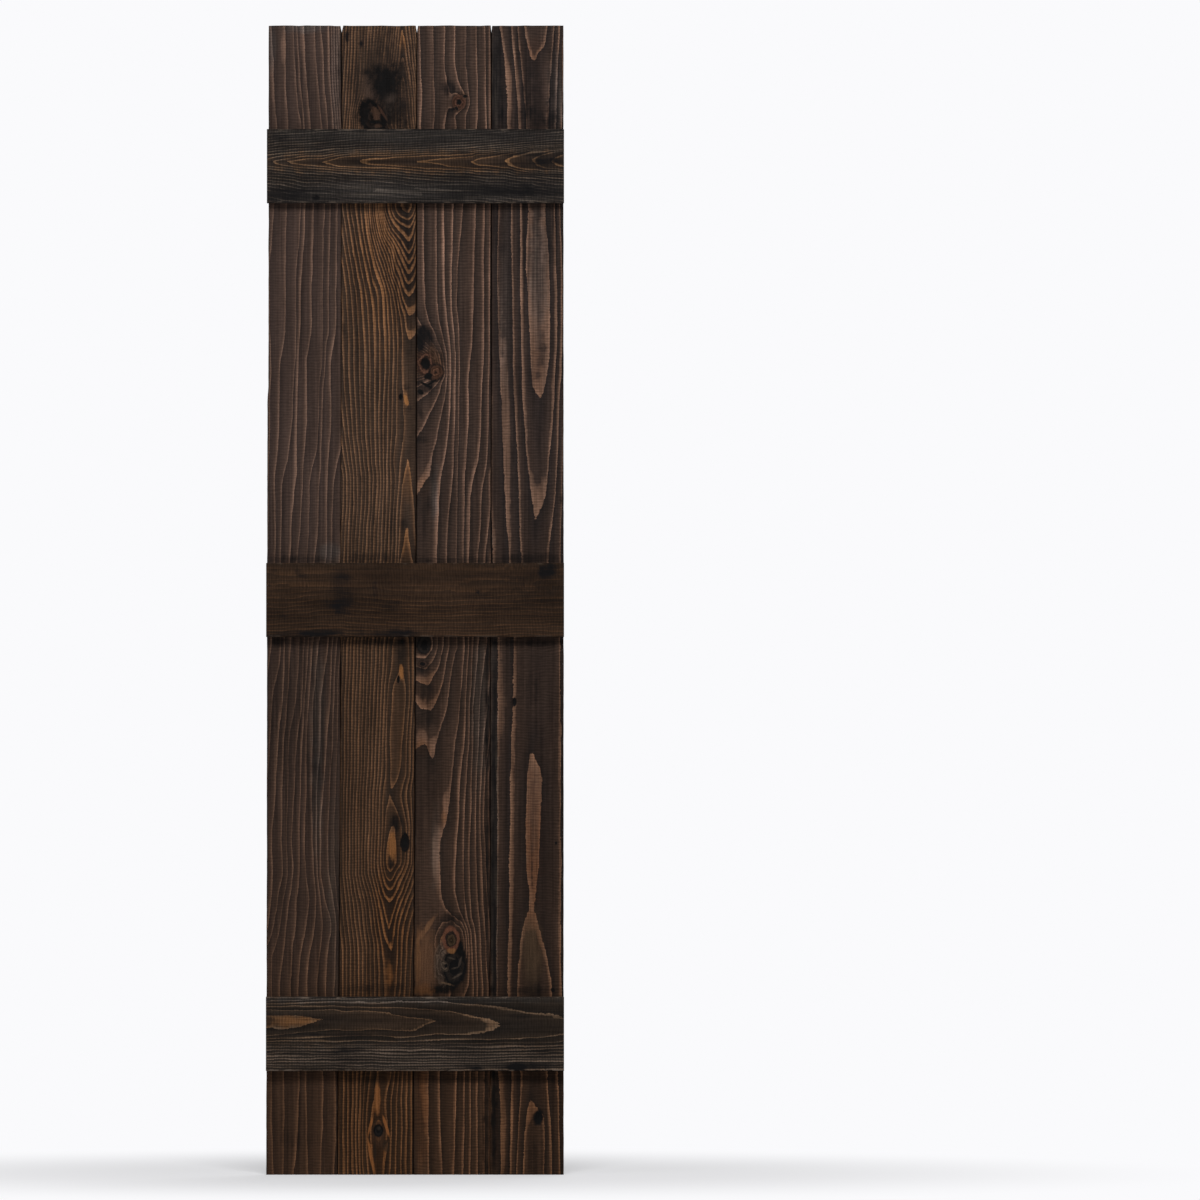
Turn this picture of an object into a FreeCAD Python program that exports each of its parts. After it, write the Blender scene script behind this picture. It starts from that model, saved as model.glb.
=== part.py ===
"""Board and batten shutter: four upright boards held together by three battens, screwed on from behind.

The frame is in millimetres. X runs across the shutter, Z runs up it, and Y runs from the battens at the front
to the wall at the back. The origin is the middle of the back, on the plane that lies against the wall.
"""

import FreeCAD
import Part
import Sketcher

import os

PARTS_FOLDER = "parts"

# Driving dimensions: alias, value in millimetres or degrees, and what it measures
DIMENSIONS = (
    ("shutter_height", "1371.6", "length of every board, end to end"),
    ("board_width", "88.6", "width of one board"),
    ("board_gap", "0.4", "crack between two boards"),
    ("board_thickness", "19.05", "thickness of one board"),
    ("board_arris", "1.8", "radius of a board's eased edges"),
    ("notch_reach", "1.7", "how far a board's sanded top corner steps back from the crack"),
    ("notch_depth", "7.5", "how far down that corner starts"),
    ("batten_width", "88.9", "height of one batten on the shutter's face"),
    ("batten_thickness", "19.05", "thickness of one batten"),
    ("batten_arris", "1.6", "radius of a batten's eased edges"),
    ("batten_inset", "124", "shutter's end to the outer edge of the nearest batten"),
    ("screw_offset_across", "21", "screw to the middle of its board"),
    ("screw_offset_up", "20", "screw to the middle of its batten"),
    ("screw_cover", "6.35", "wood of the batten left in front of a screw's tip"),
    ("screw_shank", "4.2", "diameter of a screw's shank"),
    ("screw_tip", "5", "length of a screw's pointed tip"),
    ("screw_clearance", "0.1", "room between a screw and the wood around it"),
    ("head_diameter", "8.4", "diameter of a screw's countersunk head"),
    ("head_angle", "90", "angle across the cone under the head"),
    ("head_recess", "0.4", "how far a head sits below the shutter's back"),
    ("drive_span", "4.4", "length of each arm pair of the cross drive"),
    ("drive_slot", "1", "width of the cross drive's arms"),
    ("drive_depth", "1.6", "depth of the cross drive"),
)

# Boards from left to right, and battens from top to bottom
BOARDS = ("left_outer_board", "left_inner_board", "right_inner_board", "right_outer_board")
BATTENS = ("top_batten", "middle_batten", "bottom_batten")

# The two screws at a crossing sit on a diagonal, so that no two share a line of the grain
SCREW_CORNERS = ((-1, 1), (1, -1))

# Lengths that follow from the driving dimensions
BOARD_PITCH = "(dims.board_width + dims.board_gap)"
SHUTTER_WIDTH = f"({len(BOARDS)} * dims.board_width + {len(BOARDS) - 1} * dims.board_gap)"
BATTEN_RISE = "(dims.shutter_height / 2 - dims.batten_inset - dims.batten_width / 2)"
HEAD_SLOPE = "tan(dims.head_angle / 2 * 1 deg)"
HEAD_HEIGHT = f"((dims.head_diameter - dims.screw_shank) / 2 / {HEAD_SLOPE})"
SCREW_BITE = "(dims.batten_thickness - dims.screw_cover)"
SCREW_REACH = f"(dims.board_thickness + {SCREW_BITE})"
HOLE_DIAMETER = "(dims.screw_shank + 2 * dims.screw_clearance)"
SINK_DIAMETER = f"(dims.head_diameter + 2 * dims.screw_clearance + 2 * dims.head_recess * {HEAD_SLOPE})"

# In a sketch, geometry -1 and -2 are its own axes, and points 1, 2 and 3 of a line or circle are these
LEVEL_AXIS, UPRIGHT_AXIS = range(-1, -3, -1)
START, END, CENTRE = range(1, 4)
ROOT_POINT = (LEVEL_AXIS, START)

# Two lengths closer than this, in millimetres, are the same
SAME = 1e-6


def board_place(label):
    """A board's place in pitches to the right of the shutter's middle."""
    return BOARDS.index(label) - (len(BOARDS) - 1) / 2


def batten_place(label):
    """A batten's place in batten rises above the shutter's middle."""
    return (len(BATTENS) - 1) / 2 - BATTENS.index(label)


def make_sheet(doc):
    """The spreadsheet that holds every driving dimension under its alias."""
    sheet = doc.addObject("Spreadsheet::Sheet", "dims")
    for row, (alias, value, meaning) in enumerate(DIMENSIONS, start=1):
        sheet.set(f"A{row}", alias)
        sheet.set(f"B{row}", value)
        sheet.set(f"C{row}", meaning)
        sheet.setAlias(f"B{row}", alias)
    doc.recompute()


def new_body(doc, label, across="0", depth="0", up="0"):
    """An empty body with its name and its place, each coordinate an expression."""
    body = doc.addObject("PartDesign::Body", label)
    body.Label = label
    for axis, place in (("x", across), ("y", depth), ("z", up)):
        body.setExpression(f".Placement.Base.{axis}", place)
    return body


def new_sketch(body, name, role, depth="0"):
    """A sketch on one of the body's own planes, moved along that plane's normal by depth."""
    sketch = body.newObject("Sketcher::SketchObject", name)
    plane = next(f for f in body.Origin.OriginFeatures if f.Role == role)
    sketch.AttachmentSupport = [(plane, "")]
    sketch.MapMode = "FlatFace"
    sketch.setExpression(".AttachmentOffset.Base.z", depth)
    return sketch


def size(sketch, kind, first, second, name, expression):
    """One named distance between two sketch points, tied to the sheet."""
    index = sketch.addConstraint(Sketcher.Constraint(kind, *first, *second, 1.0))
    sketch.renameConstraint(index, name)
    sketch.setExpression(f"Constraints.{name}", expression)


def closed_outline(sketch, points):
    """Straight lines through the points in turn, closed. The points are where the solver starts from."""
    corners = [FreeCAD.Vector(x, y, 0) for x, y in points]
    ends = corners[1:] + corners[:1]
    for start, end in zip(corners, ends):
        sketch.addGeometry(Part.LineSegment(start, end), False)
    for line in range(len(corners)):
        following = (line + 1) % len(corners)
        sketch.addConstraint(Sketcher.Constraint("Coincident", line, END, following, START))


def square_up(sketch, level, upright):
    """Holds some of the sketch's lines level and others upright."""
    for line in level:
        sketch.addConstraint(Sketcher.Constraint("Horizontal", line))
    for line in upright:
        sketch.addConstraint(Sketcher.Constraint("Vertical", line))


def rectangle(sketch, width, height):
    """A rectangle from the sketch's origin. Returns its four lines, anticlockwise from the bottom one."""
    closed_outline(sketch, [(0, 0), (width, 0), (width, height), (0, height)])
    bottom, right, top, left = range(4)
    square_up(sketch, level=(bottom, top), upright=(right, left))
    return bottom, right, top, left


def pad(body, sketch, length):
    """The sketch made solid, towards the shutter's front."""
    feature = body.newObject("PartDesign::Pad", f"{body.Name}_pad")
    feature.Profile = sketch
    feature.setExpression("Length", length)
    body.Document.recompute()
    return feature


def ease(body, base, radius, wanted):
    """Rounds the base feature's edges for which wanted(edge) is true."""
    names = [f"Edge{i}" for i, edge in enumerate(base.Shape.Edges, start=1) if wanted(edge)]
    feature = body.newObject("PartDesign::Fillet", f"{body.Name}_eased")
    feature.Base = (base, names)
    feature.setExpression("Radius", radius)
    body.Document.recompute()


def at_front(edge, front):
    """True for an edge that lies in the front face, at local Y = front."""
    return abs(edge.BoundBox.YMin - front) < SAME and abs(edge.BoundBox.YMax - front) < SAME


def is_upright(edge):
    """True for an edge that runs straight up."""
    box = edge.BoundBox
    return box.XLength < SAME and box.YLength < SAME


def screw_holes(body, places, depth=None):
    """Screw holes in the back, one at each place: right through with a sunk rim, or blind to a depth."""
    sheet = body.Document.dims
    sketch = new_sketch(body, f"{body.Name}_hole_centres", "XZ_Plane")
    for n, (across, up) in enumerate(places):
        start = (n + 1) * sheet.head_diameter
        centre = FreeCAD.Vector(start, start, 0)
        sketch.addGeometry(Part.Circle(centre, FreeCAD.Vector(0, 0, 1), sheet.screw_shank / 2), False)
        size(sketch, "DistanceX", ROOT_POINT, (n, CENTRE), f"across_{n}", across)
        size(sketch, "DistanceY", ROOT_POINT, (n, CENTRE), f"up_{n}", up)
        bore = sketch.addConstraint(Sketcher.Constraint("Diameter", n, sheet.screw_shank))
        sketch.renameConstraint(bore, f"bore_{n}")
        sketch.setExpression(f"Constraints.bore_{n}", HOLE_DIAMETER)
    body.Document.recompute()
    before = body.Tip.Shape.Volume
    holes = body.newObject("PartDesign::Hole", f"{body.Name}_holes")
    holes.Profile = sketch
    holes.Reversed = True
    holes.ThreadType = "None"
    holes.DrillPoint = "Flat"
    holes.setExpression("Diameter", HOLE_DIAMETER)
    if depth is None:
        holes.DepthType = "ThroughAll"
        holes.HoleCutType = "Countersink"
        holes.HoleCutCustomValues = True
        holes.setExpression("HoleCutDiameter", SINK_DIAMETER)
        holes.setExpression("HoleCutCountersinkAngle", "dims.head_angle * 1 deg")
    else:
        holes.DepthType = "Dimension"
        holes.setExpression("Depth", depth)
    body.Document.recompute()
    if not body.Tip.Shape.Volume < before:
        raise RuntimeError(f"the screw holes in {body.Label} cut nothing")


def board_outline(sketch, notched):
    """A board's front outline from its lower left corner. On a notched side the top corner is sanded back."""
    sheet = sketch.Document.dims
    width, height = sheet.board_width, sheet.shutter_height
    reach, shoulder = sheet.notch_reach, sheet.shutter_height - sheet.notch_depth
    starts = {"bottom": (0, 0), "right": (width, 0)}
    if "right" in notched:
        starts["right_notch"] = (width, shoulder)
        starts["top"] = (width - reach, height)
    else:
        starts["top"] = (width, height)
    if "left" in notched:
        starts["left_notch"] = (reach, height)
        starts["left"] = (0, shoulder)
    else:
        starts["left"] = (0, height)
    closed_outline(sketch, list(starts.values()))
    line = {name: number for number, name in enumerate(starts)}
    bottom, top = line["bottom"], line["top"]
    square_up(sketch, level=(bottom, top), upright=(line["right"], line["left"]))
    sketch.addConstraint(Sketcher.Constraint("Coincident", bottom, START, *ROOT_POINT))
    size(sketch, "DistanceX", (bottom, START), (bottom, END), "width", "dims.board_width")
    size(sketch, "DistanceY", (bottom, START), (top, START), "height", "dims.shutter_height")
    if "right" in notched:
        low, high = (line["right_notch"], START), (line["right_notch"], END)
        size(sketch, "DistanceX", high, low, "right_reach", "dims.notch_reach")
        size(sketch, "DistanceY", low, high, "right_depth", "dims.notch_depth")
    if "left" in notched:
        high, low = (line["left_notch"], START), (line["left_notch"], END)
        size(sketch, "DistanceX", low, high, "left_reach", "dims.notch_reach")
        size(sketch, "DistanceY", low, high, "left_depth", "dims.notch_depth")


def make_board(doc, label):
    """One upright board with sanded top corners, eased edges, and sunk screw holes behind each batten."""
    body = new_body(
        doc,
        label,
        across=f"{board_place(label)} * {BOARD_PITCH} - dims.board_width / 2",
        up="-dims.shutter_height / 2",
    )
    sketch = new_sketch(body, f"{label}_outline", "XZ_Plane")
    outer_side = {BOARDS[0]: "left", BOARDS[-1]: "right"}.get(label)
    board_outline(sketch, notched=[side for side in ("left", "right") if side != outer_side])
    slab = pad(body, sketch, "dims.board_thickness")
    front = slab.Shape.BoundBox.YMin
    ease(body, slab, "dims.board_arris", lambda edge: at_front(edge, front) or is_upright(edge))
    places = []
    for batten in BATTENS:
        batten_middle = f"dims.shutter_height / 2 + {batten_place(batten)} * {BATTEN_RISE}"
        for across, up in SCREW_CORNERS:
            across_place = f"dims.board_width / 2 + {across} * dims.screw_offset_across"
            up_place = f"{batten_middle} + {up} * dims.screw_offset_up"
            places.append((across_place, up_place))
    screw_holes(body, places)
    return body


def make_batten(doc, label):
    """One batten across the boards' fronts: a slab with eased front edges and blind holes for the screws."""
    body = new_body(
        doc,
        label,
        across=f"-{SHUTTER_WIDTH} / 2",
        depth="-dims.board_thickness",
        up=f"{batten_place(label)} * {BATTEN_RISE} - dims.batten_width / 2",
    )
    sheet = doc.dims
    sketch = new_sketch(body, f"{label}_outline", "XZ_Plane")
    bottom, right, _, _ = rectangle(sketch, len(BOARDS) * sheet.board_width, sheet.batten_width)
    sketch.addConstraint(Sketcher.Constraint("Coincident", bottom, START, *ROOT_POINT))
    size(sketch, "DistanceX", (bottom, START), (bottom, END), "length", SHUTTER_WIDTH)
    size(sketch, "DistanceY", (right, START), (right, END), "height", "dims.batten_width")
    slab = pad(body, sketch, "dims.batten_thickness")
    front = slab.Shape.BoundBox.YMin
    ease(body, slab, "dims.batten_arris", lambda edge: at_front(edge, front))
    places = []
    for board in BOARDS:
        board_middle = f"{SHUTTER_WIDTH} / 2 + {board_place(board)} * {BOARD_PITCH}"
        for across, up in SCREW_CORNERS:
            across_place = f"{board_middle} + {across} * dims.screw_offset_across"
            up_place = f"dims.batten_width / 2 + {up} * dims.screw_offset_up"
            places.append((across_place, up_place))
    screw_holes(body, places, depth=f"{SCREW_BITE} + dims.screw_clearance")
    return body


def screw_profile(sketch):
    """Half of a screw seen from the side: flat head, cone, shank and tip, pointing down the sketch."""
    sheet = sketch.Document.dims
    head, shank = sheet.head_diameter / 2, sheet.screw_shank / 2
    recess, reach = sheet.head_recess, sheet.board_thickness
    neck, tip_start = reach - 2 * sheet.screw_tip, reach - sheet.screw_tip
    closed_outline(sketch, [(0, -recess), (head, -recess), (shank, -neck), (shank, -tip_start), (0, -reach)])
    face, cone, side, tip, axis = range(5)
    square_up(sketch, level=(face,), upright=(side,))
    sketch.addConstraint(Sketcher.Constraint("PointOnObject", face, START, UPRIGHT_AXIS))
    sketch.addConstraint(Sketcher.Constraint("PointOnObject", axis, START, UPRIGHT_AXIS))
    size(sketch, "DistanceY", (face, START), ROOT_POINT, "recess", "dims.head_recess")
    size(sketch, "DistanceX", (face, START), (face, END), "head_radius", "dims.head_diameter / 2")
    size(sketch, "DistanceY", (cone, END), (cone, START), "head_height", HEAD_HEIGHT)
    size(sketch, "DistanceX", (tip, END), (tip, START), "shank_radius", "dims.screw_shank / 2")
    size(sketch, "DistanceY", (tip, END), (tip, START), "tip_length", "dims.screw_tip")
    size(sketch, "DistanceY", (tip, END), ROOT_POINT, "reach", SCREW_REACH)


def cut_cross_drive(body):
    """Two crossed slots sunk into the screw's head."""
    span, slot = "dims.drive_span", "dims.drive_slot"
    sheet = body.Document.dims
    before = body.Tip.Shape.Volume
    for name, width, height in (("level", span, slot), ("upright", slot, span)):
        sketch = new_sketch(body, f"{body.Name}_{name}_slot", "XZ_Plane", depth="dims.head_recess")
        bottom, right, _, _ = rectangle(sketch, sheet.drive_span, sheet.drive_span)
        sketch.addConstraint(Sketcher.Constraint("Symmetric", bottom, START, right, END, *ROOT_POINT))
        size(sketch, "DistanceX", (bottom, START), (bottom, END), "slot_width", width)
        size(sketch, "DistanceY", (right, START), (right, END), "slot_height", height)
        cut = body.newObject("PartDesign::Pocket", f"{body.Name}_{name}_cut")
        cut.Profile = sketch
        cut.Reversed = True
        cut.setExpression("Length", "dims.drive_depth")
        body.Document.recompute()
        if not body.Tip.Shape.Volume < before:
            raise RuntimeError(f"the cross drive in {body.Label} cut nothing")
        before = body.Tip.Shape.Volume


def make_screw(doc, label, board, batten, corner):
    """One countersunk screw along Y: a turned profile with a cross drive, its head just below the back."""
    across, up = corner
    body = new_body(
        doc,
        label,
        across=f"{board_place(board)} * {BOARD_PITCH} + {across} * dims.screw_offset_across",
        up=f"{batten_place(batten)} * {BATTEN_RISE} + {up} * dims.screw_offset_up",
    )
    sketch = new_sketch(body, f"{label}_profile", "XY_Plane")
    screw_profile(sketch)
    turned = body.newObject("PartDesign::Revolution", f"{label}_turned")
    turned.Profile = sketch
    turned.ReferenceAxis = (sketch, ["V_Axis"])
    turned.Angle = 360
    doc.recompute()
    cut_cross_drive(body)
    return body


def make_screws(doc):
    """Two screws at each crossing of a batten and a board, counted from the left along each batten."""
    screws = []
    for batten in BATTENS:
        places = [(board, corner) for board in BOARDS for corner in SCREW_CORNERS]
        for number, (board, corner) in enumerate(places, start=1):
            screws.append(make_screw(doc, f"{batten}_screw_{number}", board, batten, corner))
    return screws


def check(doc, bodies):
    """Stops before anything is written if an object failed or a solid isn't sound."""
    doc.recompute()
    for item in doc.Objects:
        if "Invalid" in item.State or "Error" in item.State:
            raise RuntimeError(f"{item.Label} failed: {item.State}")
    for body in bodies:
        shape = body.Shape
        if shape.isNull() or not shape.isValid() or len(shape.Solids) != 1:
            raise RuntimeError(f"{body.Label} isn't one sound solid")


def main():
    doc = FreeCAD.newDocument("board_and_batten_shutter")
    make_sheet(doc)
    bodies = [make_board(doc, label) for label in BOARDS]
    bodies += [make_batten(doc, label) for label in BATTENS]
    bodies += make_screws(doc)
    check(doc, bodies)
    os.makedirs(PARTS_FOLDER, exist_ok=True)
    for body in bodies:
        body.Shape.exportStep(os.path.join(PARTS_FOLDER, f"{body.Label}.step"))
        print(f"{body.Label}: {body.Shape.Volume / 1000:.2f} cubic centimetres")


main()
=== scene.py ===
# %% [markdown]
# # A board and batten shutter
# Four upright rough-sawn boards stand edge to edge, and three battens of the same stock lie across their fronts.
# The whole is stained nearly black-brown, so that the wood shows through as tan and orange lines. The solid model
# is loaded first as a fixed frame. It gives every piece its place, in metres: x runs across the shutter, z up, and
# y from the front to the wall behind.

# %% Load the solid model
import math

import bpy
import numpy as np
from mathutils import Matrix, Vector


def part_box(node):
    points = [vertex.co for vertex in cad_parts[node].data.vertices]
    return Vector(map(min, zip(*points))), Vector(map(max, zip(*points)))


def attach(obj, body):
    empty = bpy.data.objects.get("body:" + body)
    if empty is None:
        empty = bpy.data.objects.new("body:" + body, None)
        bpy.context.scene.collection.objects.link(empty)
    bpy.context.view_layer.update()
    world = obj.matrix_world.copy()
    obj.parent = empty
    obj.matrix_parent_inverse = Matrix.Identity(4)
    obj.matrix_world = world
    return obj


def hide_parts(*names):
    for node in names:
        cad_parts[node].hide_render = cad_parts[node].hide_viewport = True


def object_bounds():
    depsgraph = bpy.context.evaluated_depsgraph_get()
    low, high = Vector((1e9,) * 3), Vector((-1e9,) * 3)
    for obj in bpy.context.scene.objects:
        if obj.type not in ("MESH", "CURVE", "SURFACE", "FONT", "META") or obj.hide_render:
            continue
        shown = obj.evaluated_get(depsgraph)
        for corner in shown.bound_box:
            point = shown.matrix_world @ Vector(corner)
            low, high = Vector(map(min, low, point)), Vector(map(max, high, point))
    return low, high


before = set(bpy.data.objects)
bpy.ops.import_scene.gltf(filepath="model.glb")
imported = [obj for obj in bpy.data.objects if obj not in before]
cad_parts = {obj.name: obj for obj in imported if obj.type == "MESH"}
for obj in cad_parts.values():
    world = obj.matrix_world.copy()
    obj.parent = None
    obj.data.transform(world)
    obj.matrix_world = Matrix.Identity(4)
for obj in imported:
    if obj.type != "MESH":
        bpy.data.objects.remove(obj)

cad_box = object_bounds()
BOARDS = ("left_outer_board", "left_inner_board", "right_inner_board", "right_outer_board")
BATTENS = ("top_batten", "middle_batten", "bottom_batten")
SCREWS = [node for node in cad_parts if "_screw_" in node]
print("solid model:", len(BOARDS), "boards,", len(BATTENS), "battens,", len(SCREWS), "screws")

# %% [markdown]
# ## The camera
# The photograph is taken squarely from the front, from far off with a long lens, so nothing converges. The camera
# stands level with the shutter's middle, and to the right of it, because the shutter is in the left half of the
# picture. The same pinhole then tells where a point of the wood falls in the photograph, which is how the grain is
# read later on.

# %% Set up the camera
PICTURE = 1200
SENSOR = 36.0
LENS = 502.86
CAMERA_X = 0.2207
CAMERA_FAR = 20.0
board_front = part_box("left_outer_board")[0][1]
CAMERA_Y = board_front - CAMERA_FAR
PHOTO_SCALE = PICTURE * LENS / SENSOR / CAMERA_FAR

lens = bpy.data.cameras.new("photo_lens")
lens.lens = LENS
lens.sensor_width = SENSOR
lens.clip_end = 60
camera = bpy.data.objects.new("photo_camera", lens)
camera.location = (CAMERA_X, CAMERA_Y, 0)
camera.rotation_euler = (math.radians(90), 0, 0)
bpy.context.collection.objects.link(camera)
bpy.context.scene.camera = camera
bpy.context.scene.view_settings.view_transform = "Standard"


def in_photo(x, z, face_y):
    """Where a point on a face at face_y falls in the photograph, in its pixels."""
    pixels = PICTURE * LENS / SENSOR / (face_y - CAMERA_Y)
    return PICTURE / 2 + (x - CAMERA_X) * pixels, PICTURE / 2 - z * pixels


def from_photo(px, py, face_y):
    """The x and z of the point on a face at face_y that shows at these pixels."""
    pixels = PICTURE * LENS / SENSOR / (face_y - CAMERA_Y)
    return (px - PICTURE / 2) / pixels + CAMERA_X, (PICTURE / 2 - py) / pixels


print("shutter's middle in the photograph:", [round(float(v), 1) for v in in_photo(0, 0, board_front)])

# %% [markdown]
# ## Floor and light
# The shutter stands on a pale floor in front of nothing. One large soft lamp hangs above and in front, as the
# shadows under the battens show, a weaker one fills from the left, and one behind lights the back for views from
# there. The white behind is seen by the camera and in reflections only, so it doesn't light the wood. Near the foot
# the floor is an ordinary matt surface that takes the shadow, and further off it fades into the same white.

# %% Light the studio
def paint(red, green, blue):
    """A colour as it looks on screen, 0 to 255, as Blender's linear numbers."""
    parts = [v / 255 for v in (red, green, blue)]
    return tuple(v / 12.92 if v <= 0.04045 else ((v + 0.055) / 1.055) ** 2.4 for v in parts) + (1.0,)


def feed(tree, value, socket):
    """Links a socket, or writes a plain value."""
    if isinstance(value, bpy.types.NodeSocket):
        tree.links.new(value, socket)
    elif value is not None:
        socket.default_value = value


def step(tree, kind, *values, **settings):
    """Adds a node with its settings, and feeds its inputs in order."""
    node = tree.nodes.new(kind)
    for key, value in settings.items():
        setattr(node, key, value)
    for socket, value in zip(node.inputs, values):
        feed(tree, value, socket)
    return node


def maths(tree, what, *values, clamp=False):
    return step(tree, "ShaderNodeMath", *values, operation=what, use_clamp=clamp).outputs[0]


def vector_maths(tree, what, *values):
    node = step(tree, "ShaderNodeVectorMath", *values, operation=what)
    return node.outputs["Value" if what in ("DISTANCE", "LENGTH") else "Vector"]


def spread(tree, value, low, high, to_low=0.0, to_high=1.0, curve="LINEAR"):
    """Stretches part of a value's range, clamped."""
    node = step(tree, "ShaderNodeMapRange", value, low, high, to_low, to_high, interpolation_type=curve)
    return node.outputs[0]


def empty_material(name):
    """A new material and its empty tree of nodes."""
    material = bpy.data.materials.new(name)
    material.use_nodes = True
    material.node_tree.nodes.clear()
    return material, material.node_tree


def seen_directly(tree):
    """1 where the camera looks straight at the surface, or sees it in a mirror or through glass."""
    ray = step(tree, "ShaderNodeLightPath").outputs
    either = maths(tree, "MAXIMUM", ray["Is Camera Ray"], ray["Is Glossy Ray"])
    return maths(tree, "MAXIMUM", either, ray["Is Transmission Ray"])


BACKGROUND = paint(250, 250, 252)
SKY_LIGHT = 0.16
world = bpy.data.worlds.new("studio")
bpy.context.scene.world = world
world.use_nodes = True
world.node_tree.nodes.clear()
sky = world.node_tree
soft = step(sky, "ShaderNodeBackground", (1, 1, 1, 1), SKY_LIGHT)
white = step(sky, "ShaderNodeBackground", BACKGROUND, 1.0)
either = step(sky, "ShaderNodeMixShader", seen_directly(sky), soft.outputs[0], white.outputs[0])
step(sky, "ShaderNodeOutputWorld", either.outputs[0])


def lamp(name, place, aim, size, watts):
    light = bpy.data.lights.new(name, "AREA")
    light.size = size
    light.energy = watts
    holder = bpy.data.objects.new(name, light)
    holder.location = place
    way = np.subtract(aim, place)
    flat = math.hypot(way[0], way[1])
    holder.rotation_euler = (math.atan2(flat, -way[2]), 0, math.atan2(way[1], way[0]) - math.pi / 2)
    bpy.context.collection.objects.link(holder)
    return holder


lamp("softbox_above", (0.1, -2.9, 1.75), (0, 0, 0.1), 1.0, 84)
lamp("fill_left", (-2.6, -3.0, 0.4), (0, 0, 0), 2.2, 24)
lamp("fill_behind", (0.9, 3.0, 0.9), (0, 0, 0), 2.2, 45).visible_camera = False

# %% Lay the floor
FLOOR_SIZE = 14.0
SHADOW_NEAR, SHADOW_FAR = 0.25, 1.0
GLOW_NEAR, GLOW_FAR = 0.35, 1.0
floor_z = cad_box[0][2]
floor_mesh = bpy.data.meshes.new("floor")
half = FLOOR_SIZE / 2
corners = [(x * half, y * half, floor_z) for x, y in ((-1, -1), (1, -1), (1, 1), (-1, 1))]
floor_mesh.from_pydata(corners, [], [(0, 1, 2, 3)])
floor = bpy.data.objects.new("floor", floor_mesh)
bpy.context.collection.objects.link(floor)
floor_paint, tree = empty_material("pale_floor")
place = step(tree, "ShaderNodeTexCoord").outputs["Object"]
away = vector_maths(tree, "DISTANCE", place, (0, 0, floor_z))
fade = spread(tree, away, SHADOW_NEAR, SHADOW_FAR, GLOW_NEAR, GLOW_FAR, "SMOOTHSTEP")
matt = step(tree, "ShaderNodeBsdfDiffuse", paint(244, 244, 246))
glow = step(tree, "ShaderNodeEmission", BACKGROUND, 1.0)
seen = maths(tree, "MULTIPLY", seen_directly(tree), fade)
surface = step(tree, "ShaderNodeMixShader", seen, matt.outputs[0], glow.outputs[0])
step(tree, "ShaderNodeOutputMaterial", surface.outputs[0])
floor_mesh.materials.append(floor_paint)
print("floor at z =", round(floor_z, 4))

# %% [markdown]
# ## How the grain is drawn
# A sawn board shows the tree's yearly rings as lines. Seen this way the figure is a map of heights: give every point
# of the face a ring number, and a line shows wherever that number passes a whole value. Straight grain is a slope,
# a pointed arch is a ridge or a valley, and a knot is a pit with rings round it. An image of the wood would be tied
# to one face and one size, and a noise texture would give some other tree. So each plank has a short list of rows,
# read from the photograph: how far across the plank certain rings stand at that height. A smooth curve
# through the rows gives the ring number everywhere, and the finish further down turns it into colour.

# %% Smooth curves and slow drift
def smooth_through(knots, values, at):
    """A curve through the values (one row for each knot) that never swings past them."""
    knots, values, at = np.asarray(knots, float), np.asarray(values, float), np.asarray(at, float)
    upright = (-1,) + (1,) * (values.ndim - 1)
    rise = np.diff(values, axis=0) / np.diff(knots).reshape(upright)
    same_way = rise[1:] * rise[:-1] > 0
    slope = np.concatenate([rise[:1], np.zeros_like(rise[1:]), rise[-1:]])
    slope[1:-1] = np.where(same_way, 2 * rise[1:] * rise[:-1] / np.where(same_way, rise[1:] + rise[:-1], 1), 0)
    part = np.clip(np.searchsorted(knots, at) - 1, 0, len(knots) - 2)
    width = np.diff(knots)[part].reshape(upright)
    inside = np.clip(at, knots[0], knots[-1])
    t = ((inside - knots[part]).reshape(upright)) / width
    curve = (values[part] * (1 + 2 * t) * (1 - t) ** 2 + values[part + 1] * t * t * (3 - 2 * t)
             + width * (slope[part] * t * (1 - t) ** 2 - slope[part + 1] * t * t * (1 - t)))
    beyond = (at - inside).reshape(upright)
    return curve + beyond * np.where(beyond < 0, slope[0], slope[-1])


DRIFT_GRID = (97, 89)
DRIFT_START = (300.37, 300.61)


def drift(along, across, along_size, across_size, seed):
    """Slow random waves between about -1 and 1, the same on every run."""
    grid = np.random.default_rng(seed).uniform(-1, 1, DRIFT_GRID)
    u, v = along / along_size + DRIFT_START[0], across / across_size + DRIFT_START[1]
    i, j = np.floor(u).astype(int), np.floor(v).astype(int)
    s, t = (u - i) ** 2 * (3 - 2 * (u - i)), (v - j) ** 2 * (3 - 2 * (v - j))
    corner = [grid[(i + a) % DRIFT_GRID[0], (j + b) % DRIFT_GRID[1]] for a in (0, 1) for b in (0, 1)]
    return (corner[0] * (1 - t) + corner[1] * t) * (1 - s) + (corner[2] * (1 - t) + corner[3] * t) * s


def rows_of(text):
    """Rows of grain from their text: a bare number starts a row, and its place:ring marks follow."""
    rows = []
    for word in text.split():
        if ":" in word:
            rows[-1][1].append(tuple(map(float, word.split(":"))))
        else:
            rows.append((float(word), []))
    return rows


def ring_map(rows, first, last, low, high):
    """Ring numbers on a grid of one photo pixel along the plank and half a pixel across it."""
    samples = np.arange(low, high + 0.25, 0.5)
    profiles = []
    for _, marks in rows:
        places, rings = zip(*marks)
        profiles.append(smooth_through(places, rings, samples))
    return smooth_through([station for station, _ in rows], profiles, np.arange(first, last + 0.5))


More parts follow.
